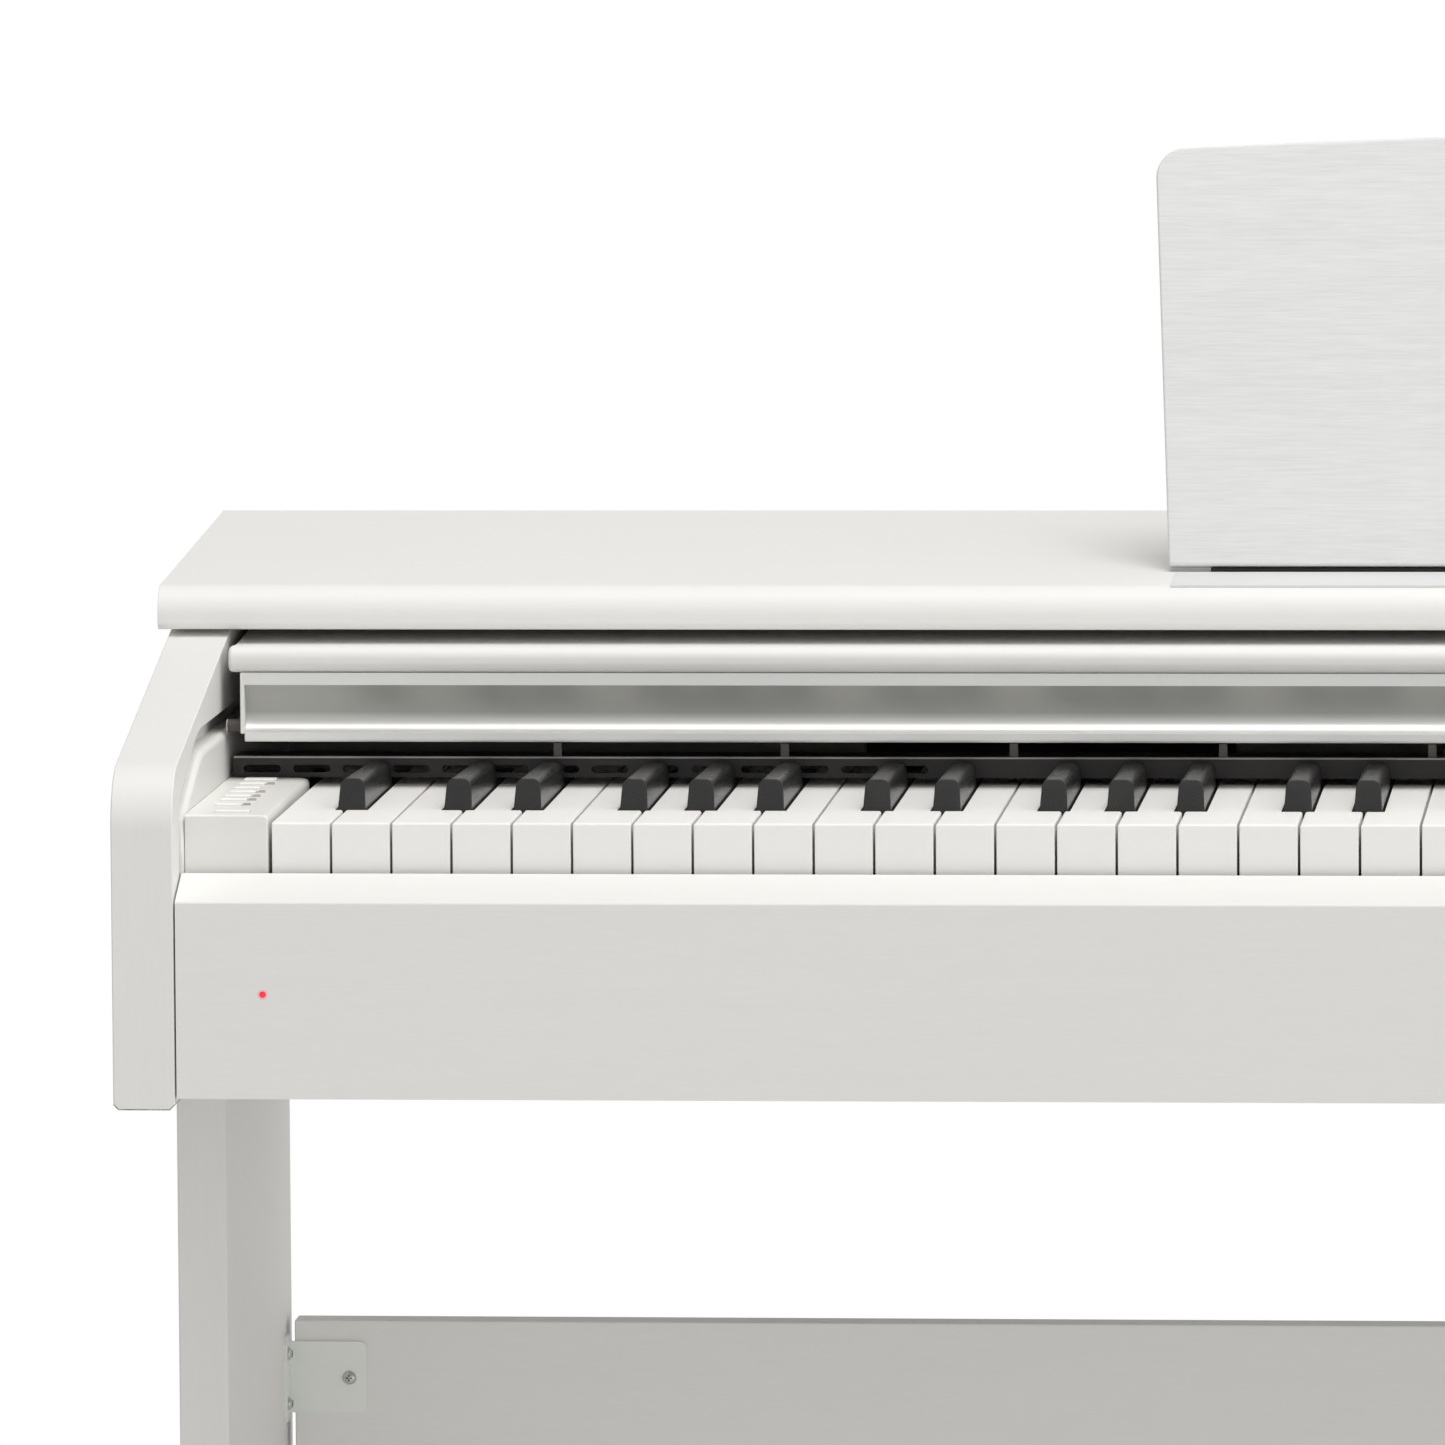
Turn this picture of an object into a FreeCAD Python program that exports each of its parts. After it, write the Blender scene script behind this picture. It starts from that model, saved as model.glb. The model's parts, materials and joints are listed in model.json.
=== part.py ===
import FreeCAD, Part
import os
import re
from math import cos, pi, sin

import Sketcher

# Digital piano on a stand. Millimetres, +Z up, origin on the floor under the middle of the instrument.
# X runs from the bass end (negative) to the treble end, and Y from the player (negative) to the back.

SIZES = {
    # cabinet
    "arm_inner": 648.3,
    "arm_outer": 672.5,
    "half_depth": 206.0,
    "arm_bottom": 625.0,
    "arm_foot_chamfer": 2.0,
    "shoulder_height": 754.8,
    "shoulder_radius": 25.0,
    "slope_end_y": -0.9,
    "slope_end_height": 797.19,
    "lid_half": 676.4,
    "lid_front": -21.0,
    "lid_back": 204.0,
    "lid_underside": 796.0,
    "lid_thick": 17.0,
    "lid_slope": 3.4,
    "lid_nose": 11.5,
    "lid_nose_low": 3.0,
    "board_half": 647.6,
    "bed_bottom": 629.5,
    "bed_thick": 15.0,
    "bed_back": 186.0,
    "slip_top": 706.4,
    "slip_bevel_top": 715.4,
    "slip_thick": 16.0,
    "slip_bevel_back": -183.5,
    "slip_bevel_thick": 6.0,
    "slip_round": 1.2,
    "lamp_x": -613.6,
    "lamp_height": 670.4,
    "lamp_radius": 1.5,
    "rear_board_thick": 12.0,
    "rear_board_top": 808.2,
    # guide groove of the key cover and the cheek plates under it
    "groove_top": 765.0,
    "groove_height": 8.0,
    "groove_turn_y": -120.0,
    "groove_fall_y": -181.0,
    "groove_fall_height": 744.0,
    "groove_front": -184.0,
    "groove_front_height": 736.0,
    "groove_radius": 90.0,
    "groove_depth": 6.0,
    "groove_back": 170.0,
    "cheek_proud": 1.6,
    "cheek_front_gap": 0.8,
    "cheek_back_gap": 0.5,
    "cheek_round": 2.5,
    # keyboard
    "key_pitch": 23.571,
    "octave": 165.0,
    "keyboard_half": 612.857,
    "key_gap": 1.0,
    "key_front": -181.0,
    "key_neck_y": -132.3,
    "key_back": 52.0,
    "key_top": 735.0,
    "key_height": 20.0,
    "key_edge": 1.0,
    "key_corner": 0.5,
    "sharp_width": 11.0,
    "sharp_notch": 13.0,
    "sharp_front": -131.0,
    "sharp_lean": 5.0,
    "sharp_rise": 12.0,
    "sharp_rise_back": 9.5,
    "sharp_back": -33.0,
    "sharp_taper": 0.8,
    "sharp_edge": 3.2,
    "sharp_front_edge": 0.5,
    "shift_c_sharp": -2.35,
    "shift_d_sharp": 1.5,
    "shift_f_sharp": -3.7,
    "shift_g_sharp": -0.95,
    "shift_a_sharp": 2.8,
    "pivot_y": 45.0,
    "pivot_height": 724.0,
    "pivot_rod": 2.5,
    "pivot_hole": 2.55,
    "frame_half": 622.0,
    "frame_wall": 4.0,
    "frame_floor": 644.5,
    "frame_front": -176.0,
    "frame_back": 60.0,
    "frame_deck": 690.0,
    "tower_half": 9.0,
    "felt_top": 703.0,
    "felt_depth": 16.0,
    "back_felt_y": -20.0,
    "back_felt_top": 711.0,
    "circuit_y": -100.0,
    "circuit_depth": 60.0,
    "circuit_thick": 1.6,
    "rubber_rise": 8.0,
    # black rail behind the keys
    "rail_front": -31.0,
    "rail_bottom": 738.0,
    "rail_top": 746.0,
    "rail_wall": 1.5,
    "rail_flange": 24.0,
    "rail_half": 645.0,
    "slot_first": -633.5,
    "slot_pitch": 20.0,
    "slot_length": 15.0,
    "slot_width": 3.0,
    "slot_height": 741.3,
    # blocks at both ends of the keyboard
    "block_outer": 646.5,
    "block_inner": 613.8,
    "block_front": -181.0,
    "block_back": -32.2,
    "block_top": 738.0,
    "block_base": 690.0,
    "block_edge": 2.2,
    "block_corner": 6.0,
    "block_round": 1.0,
    "button_rise": 0.9,
    "button_sunk": 6.0,
    "button_gap": 0.25,
    "button_edge": 0.6,
    "button_x": -633.75,
    "button_width": 10.5,
    "button_depth": 6.2,
    "wide_button_x": -628.9,
    "wide_button_width": 13.3,
    "back_button_x": -632.5,
    "back_button_width": 13.0,
    "button_lamp_x": -626.5,
    "button_lamp_side": 2.9,
    "button_lamp_rise": 0.6,
    "lamp_seat_depth": 3.0,
    # sliding key cover, open
    "cover_slope": 2.5,
    "lip_half": 645.0,
    "lip_front": -47.5,
    "lip_back": -36.0,
    "lip_bottom": 781.2,
    "lip_top": 791.6,
    "lip_round": 4.6,
    "lip_back_round": 2.0,
    "cover_panel_thick": 7.5,
    "cover_panel_length": 171.0,
    "cover_panel_bottom": 782.2,
    "trim_half": 638.6,
    "trim_top": 781.2,
    "trim_bottom": 753.5,
    "trim_front": -46.0,
    "trim_back": -38.0,
    "strip_bottom": 776.4,
    "cove_height": 763.3,
    "cove_depth": 5.0,
    "cove_high_radius": 19.7,
    "cove_low_radius": 6.2,
    "trim_round": 1.2,
    "cap_half": 640.2,
    "cap_proud": 0.6,
    "cap_lift": 3.3,
    "stub_end": 646.2,
    "stub_radius": 2.6,
    "stub_y": -42.0,
    "stub_height": 759.6,
    "track_inner": 633.0,
    "track_front": -6.0,
    "track_back": 184.0,
    "track_ledge": 2.5,
    "track_gap": 0.4,
    # music rest
    "rest_half_low": 272.4,
    "rest_half_high": 279.5,
    "rest_length": 170.8,
    "rest_apex": 14.0,
    "rest_arch_radius": 5200.0,
    "rest_corner": 12.0,
    "rest_round": 1.0,
    "rest_thick": 7.0,
    "rest_lean": 15.0,
    "rest_pivot_y": 34.0,
    "rest_pivot_lift": 2.2,
    "rest_pin": 1.2,
    "rest_pin_hole": 1.25,
    "rest_offset": 2.6,
    "rest_heel": -2.4,
    "hinge_x": 190.0,
    "hinge_width": 36.0,
    "stay_arm": 80.0,
    "stay_wire": 1.5,
    "stay_half": 30.0,
    "strip_half": 270.0,
    "rest_strip_front": -14.0,
    "rest_strip_back": 20.0,
    "rest_strip_thick": 1.4,
    "rest_strip_proud": 0.3,
    # stand
    "leg_inner": 650.5,
    "leg_outer": 670.5,
    "leg_front": -23.0,
    "leg_back": 201.0,
    "leg_round": 1.0,
    "foot_inner": 645.5,
    "foot_outer": 675.5,
    "foot_height": 40.0,
    "foot_front": -204.0,
    "foot_back": 204.0,
    "foot_round": 16.0,
    "foot_edge": 1.5,
    "panel_half": 647.0,
    "panel_front": 180.0,
    "panel_thick": 15.0,
    "panel_bottom": 140.0,
    "panel_top": 488.7,
    "panel_round": 0.8,
    "box_front": 96.0,
    "box_bottom": 42.0,
    "box_wall": 15.0,
    "box_round": 3.0,
    "pedal_spacing": 76.0,
    "pedal_slot": 32.0,
    "pedal_width": 27.0,
    "pedal_front": 18.0,
    "pedal_back": 168.0,
    "pedal_bottom": 66.0,
    "pedal_thick": 7.0,
    "pedal_pivot_y": 158.0,
    "pedal_pivot_height": 76.0,
    "pedal_pin": 3.0,
    "pedal_hole": 3.05,
    "pedal_droop": 5.0,
    "pedal_toe": 30.0,
    "pedal_tip_round": 11.0,
    "pedal_round": 1.8,
    "pedal_slot_below": 14.0,
    "pedal_slot_above": 16.0,
    "bracket_inner": 616.7,
    "bracket_outer": 648.9,
    "bracket_low": 450.0,
    "bracket_high": 480.0,
    "bracket_wall": 1.6,
    "bracket_lip": 12.0,
    "bracket_corner": 3.0,
    "bracket_screw_x": 624.0,
    "bracket_screw_height": 464.8,
    "screw_head_rise": 1.8,
    "screw_ball": 3.236,
    "screw_ball_depth": 1.436,
    "screw_shank": 1.6,
    "screw_length": 9.0,
    "long_screw": 22.0,
    "screw_hole": 1.8,
    "flange_screw_inset": 4.5,
    "flange_screw_depth": 5.0,
    "rear_screw_pitch": 280.0,
    "adjuster_radius": 18.0,
    "adjuster_plate": 8.0,
    "adjuster_stem": 6.0,
    # electrics
    "speaker_x": 420.0,
    "speaker_y": 124.0,
    "speaker_radius": 52.0,
    "speaker_hole": 44.0,
    "speaker_flange": 4.0,
    "speaker_cone": 26.0,
    "magnet_radius": 30.0,
    "magnet_height": 16.0,
    "main_board_half": 130.0,
    "main_board_front": 74.0,
    "main_board_back": 160.0,
    "main_board_lift": 8.0,
    "plate_x": -330.0,
    "plate_half": 85.0,
    "plate_low": 690.0,
    "plate_high": 740.0,
    "plate_wall": 2.0,
    "plate_margin": 8.0,
    "jack_bore": 3.25,
    "jack_length": 14.0,
    "jack_barrel": 6.0,
    "jack_first": 62.0,
    "jack_pitch": 24.0,
    "plate_corner": 4.0,
}

SHARPS = {"c_sharp": 1, "d_sharp": 2, "f_sharp": 4, "g_sharp": 5, "a_sharp": 6}
# Each white key: its place in the octave, and the sharps on its left and its right.
WHITES = {
    "c": (0, None, "c_sharp"),
    "d": (1, "c_sharp", "d_sharp"),
    "e": (2, "d_sharp", None),
    "f": (3, None, "f_sharp"),
    "g": (4, "f_sharp", "g_sharp"),
    "a": (5, "g_sharp", "a_sharp"),
    "b": (6, "a_sharp", None),
}
OCTAVE_START = 2
BUTTON_ROWS = [-124.0, -109.5, -93.0, -77.0, -61.0]
WIDE_BUTTON_ROW = -169.0
FRONT_BUTTON_ROW = -143.0
BACK_BUTTON_ROW = -44.5
LAMP_ROWS = [-143.0, -124.0, -109.5, -93.0, -61.0]

doc = FreeCAD.newDocument("DigitalPiano")
sheet = doc.addObject("Spreadsheet::Sheet", "Sizes")
for row, (alias, value) in enumerate(SIZES.items(), 1):
    sheet.set("A%d" % row, alias)
    sheet.set("B%d" % row, str(value))
    sheet.setAlias("B%d" % row, alias)
doc.recompute()

nodes = []


def formula(text):
    """An expression in which each alias is looked up in the sheet."""
    def look_up(word):
        return "Sizes." + word.group() if word.group() in SIZES else word.group()

    return re.sub(r"[a-z_]+", look_up, text)


def bind(item, prop, text):
    item.setExpression(prop, formula(str(text)))


def node(item, name):
    """Marks an object as the sub-part of that name."""
    item.Label = name
    nodes.append(item)
    return item


def place(item, x="0", y="0", z="0"):
    for axis, text in zip("xyz", (x, y, z)):
        bind(item, "Placement.Base." + axis, text)
    return item


def block(name, x, y, z):
    """A Part::Box. x, y and z are each a pair of formulas, low and high."""
    item = doc.addObject("Part::Box", name)
    for prop, (low, high) in zip(("Length", "Width", "Height"), (x, y, z)):
        bind(item, prop, "(%s) - (%s)" % (high, low))
    return place(item, x[0], y[0], z[0])


def rod(name, start, length, radius, along):
    """A Part::Cylinder from start, along +X, -X, +Y, -Y, +Z or -Z."""
    item = doc.addObject("Part::Cylinder", name)
    bind(item, "Radius", radius)
    bind(item, "Height", length)
    item.Placement.Rotation = FreeCAD.Rotation(FreeCAD.Vector(0, 0, 1), FreeCAD.Vector(*along))
    return place(item, *start)


def fuse(name, items):
    item = doc.addObject("Part::MultiFuse", name)
    item.Shapes = items
    return item


def group(name, items):
    item = doc.addObject("Part::Compound", name)
    item.Links = items
    return item


def cut(name, base, tools):
    item = doc.addObject("Part::Cut", name)
    item.Base = base
    item.Tool = tools[0] if len(tools) == 1 else fuse(name + "_cutters", tools)
    return item


def common(name, base, tool):
    item = doc.addObject("Part::Common", name)
    item.Base = base
    item.Tool = tool
    return item


def new_body(name):
    return doc.addObject("PartDesign::Body", name)


def outline(body, plane, corners):
    """A closed sketch on one of the body's origin planes. Each corner is a pair of formulas."""
    sketch = body.newObject("Sketcher::SketchObject", body.Name + "_outline")
    origin_plane = [item for item in body.Origin.OriginFeatures if item.Role == plane][0]
    sketch.AttachmentSupport = (origin_plane, [""])
    sketch.MapMode = "FlatFace"
    count = len(corners)
    ring = [FreeCAD.Vector(cos(2 * pi * i / count), sin(2 * pi * i / count), 0) for i in range(count)]
    for i in range(count):
        sketch.addGeometry(Part.LineSegment(ring[i], ring[(i + 1) % count]), False)
    for i in range(count):
        sketch.addConstraint(Sketcher.Constraint("Coincident", i, 2, (i + 1) % count, 1))
    for i, corner in enumerate(corners):
        for kind, text, start in zip(("DistanceX", "DistanceY"), corner, ring[i]):
            number = sketch.addConstraint(Sketcher.Constraint(kind, -1, 1, i, 1, start))
            bind(sketch, "Constraints[%d]" % number, text)
    return sketch


def pad(body, plane, corners, length, middle=False, backwards=False):
    feature = body.newObject("PartDesign::Pad", body.Name + "_pad")
    feature.Profile = outline(body, plane, corners)
    feature.Midplane = middle
    feature.Reversed = backwards
    bind(feature, "Length", length)
    doc.recompute()
    return feature


def pocket(body, plane, corners, length, backwards=False, middle=False):
    before = body.Shape.Volume
    feature = body.newObject("PartDesign::Pocket", body.Name + "_pocket")
    feature.Profile = outline(body, plane, corners)
    feature.Reversed = backwards
    feature.Midplane = middle
    bind(feature, "Length", length)
    doc.recompute()
    if not body.Shape.Volume < before - 1:
        raise RuntimeError("the pocket in %s cuts nothing" % body.Name)
    return feature


def drill(body, radius, start, length, along):
    """A round hole from start along the direction."""
    before = body.Shape.Volume
    feature = body.newObject("PartDesign::SubtractiveCylinder", body.Name + "_hole")
    bind(feature, "Radius", radius)
    bind(feature, "Height", length)
    feature.Placement.Rotation = FreeCAD.Rotation(FreeCAD.Vector(0, 0, 1), FreeCAD.Vector(*along))
    place(feature, *start)
    doc.recompute()
    if not body.Shape.Volume < before - 1:
        raise RuntimeError("the hole in %s cuts nothing" % body.Name)
    return feature


def edges_where(shape, test):
    """Names of the edges whose middle point and direction pass the test."""
    names = []
    for number, edge in enumerate(shape.Edges, 1):
        ends = [vertex.Point for vertex in edge.Vertexes]
        run = ends[-1] - ends[0]
        if test(edge.CenterOfMass, run):
            names.append("Edge%d" % number)
    return names


def soften(body, kind, size, test):
    """Rounds or bevels the edges of the body's tip that pass the test."""
    base = body.Tip
    names = edges_where(base.Shape, test)
    if not names:
        raise RuntimeError("%s has no such edge" % body.Name)
    feature = body.newObject("PartDesign::" + kind, "%s_%s" % (body.Name, kind.lower()))
    feature.Base = (base, names)
    bind(feature, "Radius" if kind == "Fillet" else "Size", size)
    doc.recompute()
    return feature


def along_x(run):
    return abs(run.x) > 0.9 * run.Length > 0


def along_y(run):
    return abs(run.y) > 0.9 * run.Length > 0


def along_z(run):
    return abs(run.z) > 0.9 * run.Length > 0


def board(name, x, y, z, round_size=None, test=None):
    """A rectangular board as a body, with some of its edges rounded."""
    body = new_body(name)
    corners = [(x[0], y[0]), (x[1], y[0]), (x[1], y[1]), (x[0], y[1])]
    pad(body, "XY_Plane", corners, "(%s) - (%s)" % (z[1], z[0]))
    if round_size:
        soften(body, "Fillet", round_size, test)
    place(body, z=z[0])
    return body


def repeated(name, item, steps, height):
    """Copies of the item, each moved along X by a formula and raised to one height."""
    copies = []
    for number, step in enumerate(steps):
        copy = doc.addObject("App::Link", "%s_copy_%d" % (name, number))
        copy.LinkedObject = item
        copies.append(place(copy, step, "0", height))
    return group(name, copies)


# ---------------------------------------------------------------- cabinet

GROOVE_TOP_LINE = [
    ("groove_back", "groove_top"),
    ("groove_turn_y", "groove_top"),
    ("groove_fall_y", "groove_fall_height"),
    ("groove_front", "groove_front_height"),
]


def lid_underside_at(y):
    return "lid_underside + (%s - lid_front) * tan(lid_slope * 1 deg)" % y


def side_arm(name, side):
    """End panel: a thick profile with a rounded shoulder, and a recess for the cheek plate."""
    left = side < 0
    body = new_body(name)
    corners = [
        ("-half_depth", "arm_bottom"),
        ("half_depth", "arm_bottom"),
        ("half_depth", lid_underside_at("half_depth")),
        ("slope_end_y", "slope_end_height"),
        ("-half_depth", "shoulder_height"),
    ]
    pad(body, "YZ_Plane", corners, "arm_outer - arm_inner", backwards=left)
    y_front = -SIZES["half_depth"]
    foot = SIZES["arm_bottom"]
    soften(body, "Fillet", "shoulder_radius",
           lambda mid, run: along_x(run) and mid.y < y_front + 1 and mid.z > foot + 1)
    soften(body, "Chamfer", "arm_foot_chamfer", lambda mid, run: along_y(run) and mid.z < foot + 1)
    recess = GROOVE_TOP_LINE + [
        ("groove_front", "bed_bottom + bed_thick"),
        ("groove_back", "bed_bottom + bed_thick"),
    ]
    pocket(body, "YZ_Plane", recess, "groove_depth", backwards=not left)
    turn = SIZES["groove_turn_y"]
    groove_top = SIZES["groove_top"]
    soften(body, "Fillet", "groove_radius",
           lambda mid, run: along_x(run) and abs(mid.y - turn) < 1 and abs(mid.z - groove_top) < 1)
    place(body, "arm_inner" if side > 0 else "-arm_inner")
    return node(body, name)


def cheek_liner(name, side):
    """Plate in the arm's recess; its top edge follows the groove, one groove height lower."""
    left = side < 0
    body = new_body(name)
    corners = [(y, z + " - groove_height") for y, z in GROOVE_TOP_LINE[:-1]]
    corners[0] = ("groove_back - cheek_back_gap", corners[0][1])
    corners += [
        ("groove_front + cheek_front_gap", "groove_front_height - groove_height - 2"),
        ("groove_front + cheek_front_gap", "bed_bottom + bed_thick"),
        ("groove_back - cheek_back_gap", "bed_bottom + bed_thick"),
    ]
    pad(body, "YZ_Plane", corners, "groove_depth + cheek_proud", backwards=left)
    turn = SIZES["groove_turn_y"]
    soften(body, "Fillet", "groove_radius - groove_height",
           lambda mid, run: along_x(run) and abs(mid.y - turn) < 1 and mid.z > 700)
    inner = "arm_inner - cheek_proud"
    place(body, inner if side > 0 else "-(%s)" % inner)
    floor = SIZES["bed_bottom"] + SIZES["bed_thick"] + 1
    front = SIZES["groove_front"] + 0.9
    back = SIZES["groove_back"] - 1
    soften(body, "Fillet", "cheek_round",
           lambda mid, run: abs(mid.x) < 0.1 and mid.z > floor and front < mid.y < back and not along_x(run))
    return body


side_arm("side_arm_left", -1)
side_arm("side_arm_right", 1)
liners = [cheek_liner("liner_left", -1), cheek_liner("liner_right", 1)]
node(group("cheek_liners", liners), "cheek_liners")


def lid_line(y, lift):
    return "%s + (%s)" % (lid_underside_at(y), lift)


STRIP_FLOOR = "lid_thick + rest_strip_proud - rest_strip_thick"
STRIP_TOP = "lid_thick + rest_strip_proud"

top_board = new_body("top_board")
pad(top_board, "YZ_Plane", [
    ("lid_front", lid_line("lid_front", "0")),
    ("lid_back", lid_line("lid_back", "0")),
    ("lid_back", lid_line("lid_back", "lid_thick")),
    ("lid_front", lid_line("lid_front", "lid_thick")),
], "2 * lid_half", middle=True)
lid_front_y = SIZES["lid_front"]
lid_middle = SIZES["lid_underside"] + SIZES["lid_thick"] / 2
soften(top_board, "Fillet", "lid_nose",
       lambda mid, run: along_x(run) and mid.y < lid_front_y + 1 and mid.z > lid_middle)
soften(top_board, "Fillet", "lid_nose_low",
       lambda mid, run: along_x(run) and mid.y < lid_front_y + 1 and mid.z < lid_middle)
pocket(top_board, "YZ_Plane", [
    ("rest_strip_front", lid_line("rest_strip_front", "lid_thick + 2")),
    ("rest_strip_back", lid_line("rest_strip_back", "lid_thick + 2")),
    ("rest_strip_back", lid_line("rest_strip_back", STRIP_FLOOR)),
    ("rest_strip_front", lid_line("rest_strip_front", STRIP_FLOOR)),
], "2 * strip_half", middle=True)
node(top_board, "top_board")

bed = board("bed_board", ("-board_half", "board_half"), ("slip_thick - half_depth", "bed_back"),
            ("bed_bottom", "bed_bottom + bed_thick"))
speaker_holes = [
    rod("speaker_hole_%d" % number, (sign + "speaker_x", "speaker_y", "bed_bottom - 1"), "bed_thick + 2",
        "speaker_hole", (0, 0, 1))
    for number, sign in enumerate(("-", ""))
]
node(cut("key_bed", bed, speaker_holes), "key_bed")

slip = new_body("slip_board")
pad(slip, "YZ_Plane", [
    ("-half_depth", "bed_bottom"),
    ("slip_thick - half_depth", "bed_bottom"),
    ("slip_thick - half_depth", "slip_top - slip_bevel_thick"),
    ("slip_bevel_back", "slip_bevel_top - slip_bevel_thick"),
    ("slip_bevel_back", "slip_bevel_top"),
    ("-half_depth", "slip_top"),
], "2 * board_half", middle=True)
slip_front = -SIZES["half_depth"]
slip_middle = SIZES["bed_bottom"] + SIZES["bed_thick"]
soften(slip, "Fillet", "slip_round",
       lambda mid, run: along_x(run) and mid.y < slip_front + 1 and mid.z > slip_middle)
lamp_hole = rod("lamp_hole", ("lamp_x", "-half_depth - 1", "lamp_height"), "slip_thick + 2", "lamp_radius",
                (0, 1, 0))
node(cut("keyslip", slip, [lamp_hole]), "keyslip")

rear = board("rear_panel", ("-board_half", "board_half"), ("bed_back", "bed_back + rear_board_thick"),
             ("bed_bottom", "rear_board_top"))
plate_window = block("plate_window",
                     ("plate_x - plate_half + plate_margin", "plate_x + plate_half - plate_margin"),
                     ("bed_back - 1", "bed_back + rear_board_thick + 1"),
                     ("plate_low + plate_margin", "plate_high - plate_margin"))
node(cut("rear_board", rear, [plate_window]), "rear_board")

# ---------------------------------------------------------------- keyboard


KEY_UNDERSIDE = "key_top - key_height"


def white_key(letter, left_sharp, right_sharp):
    """One white key, its own body, with its left end line at X = 0."""
    body = new_body("white_" + letter)
    left, right = "key_gap / 2", "key_pitch - key_gap / 2"
    corners = [(left, "key_front"), (right, "key_front")]
    if right_sharp:
        neck = "key_pitch + shift_%s - sharp_notch / 2" % right_sharp
        corners += [(right, "key_neck_y"), (neck, "key_neck_y"), (neck, "key_back")]
    else:
        corners += [(right, "key_back")]
    if left_sharp:
        neck = "shift_%s + sharp_notch / 2" % left_sharp
        corners += [(neck, "key_back"), (neck, "key_neck_y"), (left, "key_neck_y")]
    else:
        corners += [(left, "key_back")]
    pad(body, "XY_Plane", corners, "key_height")
    front = SIZES["key_front"]
    neck_y = SIZES["key_neck_y"]
    top = SIZES["key_height"] - 0.1
    soften(body, "Fillet", "key_edge", lambda mid, run: mid.z > top and mid.y < neck_y - 1)
    soften(body, "Fillet", "key_corner", lambda mid, run: along_z(run) and mid.y < front + 1)
    drill(body, "pivot_hole", ("-1", "pivot_y", "pivot_height - (%s)" % KEY_UNDERSIDE), "key_pitch + 2",
          (1, 0, 0))
    return body


def sharp_key(name):
    """One sharp, its own body, with X = 0 on its middle."""
    body = new_body("black_" + name)
    pad(body, "YZ_Plane", [
        ("sharp_front", "0"),
        ("key_back", "0"),
        ("key_back", "key_height - 2"),
        ("sharp_back", "key_height - 2"),
        ("sharp_back", "key_height + sharp_rise_back"),
        ("sharp_front + sharp_lean", "key_height + sharp_rise"),
        ("sharp_front", "key_height"),
    ], "sharp_width", middle=True)
    for side in ("", "-"):
        pocket(body, "XZ_Plane", [
            (side + "sharp_width / 2", "key_height"),
            (side + "(sharp_width / 2 - sharp_taper)", "key_height + sharp_rise"),
            (side + "sharp_width", "key_height + sharp_rise"),
            (side + "sharp_width", "key_height"),
        ], "2 * half_depth", middle=True)
    crest = SIZES["key_height"] + SIZES["sharp_rise_back"] - 1
    soften(body, "Fillet", "sharp_edge", lambda mid, run: along_y(run) and mid.z > crest)
    face_back = SIZES["sharp_front"] + SIZES["sharp_lean"] + 0.5
    face_low = SIZES["key_height"] + 1
    soften(body, "Fillet", "sharp_front_edge", lambda mid, run: mid.y < face_back and mid.z > face_low)
    drill(body, "pivot_hole", ("-sharp_width", "pivot_y", "pivot_height - (%s)" % KEY_UNDERSIDE),
          "2 * sharp_width", (1, 0, 0))
    return body


def white_start(place_in_octave, octave_number):
    return "(%d) * key_pitch + (%d) * octave - keyboard_half" % (OCTAVE_START + place_in_octave, octave_number)


for letter, (place_in_octave, left_sharp, right_sharp) in WHITES.items():
    first = -1 if letter in "ab" else 0
    key = white_key(letter, left_sharp, right_sharp)
    steps = [white_start(place_in_octave, number) for number in range(first, 7)]
    if letter == "a":
        lowest = white_key("a_lowest", None, "a_sharp")
        place(lowest, "-keyboard_half", "0", KEY_UNDERSIDE)
        keys = repeated("octaves_a", key, steps[1:], KEY_UNDERSIDE)
        key_group = group("keys_a", [keys, lowest])
    elif letter == "c":
        highest = white_key("c_highest", None, None)
        place(highest, "keyboard_half - key_pitch", "0", KEY_UNDERSIDE)
        keys = repeated("octaves_c", key, steps, KEY_UNDERSIDE)
        key_group = group("keys_c", [keys, highest])
    else:
        key_group = repeated("keys_" + letter, key, steps, KEY_UNDERSIDE)
    node(key_group, "keys_" + letter)

for name, boundary in SHARPS.items():
    first = -1 if name == "a_sharp" else 0
    key = sharp_key(name)
    steps = ["%s + shift_%s" % (white_start(boundary, number), name) for number in range(first, 7)]
    node(repeated("keys_" + name, key, steps, KEY_UNDERSIDE), "keys_" + name)

frame_body = new_body("frame_body")
pad(frame_body, "YZ_Plane", [
    ("frame_front", "frame_floor"),
    ("frame_back", "frame_floor"),
    ("frame_back", "frame_deck"),
    ("frame_back - frame_wall", "frame_deck"),
    ("frame_back - frame_wall", "frame_floor + frame_wall"),
    ("frame_front + frame_wall", "frame_floor + frame_wall"),
    ("frame_front + frame_wall", "frame_deck - frame_wall"),
    ("circuit_y - 4", "frame_deck - frame_wall"),
    ("circuit_y - 4", "frame_deck"),
    ("frame_front", "frame_deck"),
], "2 * frame_half", middle=True)
FRAME_ENDS = [("-frame_half", "frame_wall - frame_half"), ("frame_half - frame_wall", "frame_half")]
end_plates = [
    block("frame_end_%d" % number, x, ("frame_front", "frame_back"), ("frame_floor", "frame_deck"))
    for number, x in enumerate(FRAME_ENDS)
]
towers = [
    block("frame_tower_%d" % number, x, ("pivot_y - tower_half", "pivot_y + tower_half"),
          ("frame_deck - 8", "pivot_height + tower_half"))
    for number, x in enumerate(FRAME_ENDS)
]
rear_rest = block("frame_rear_rest", ("-frame_half", "frame_half"), ("back_felt_y - 9", "back_felt_y + 9"),
                  ("frame_floor", "back_felt_top - 3"))
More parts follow.
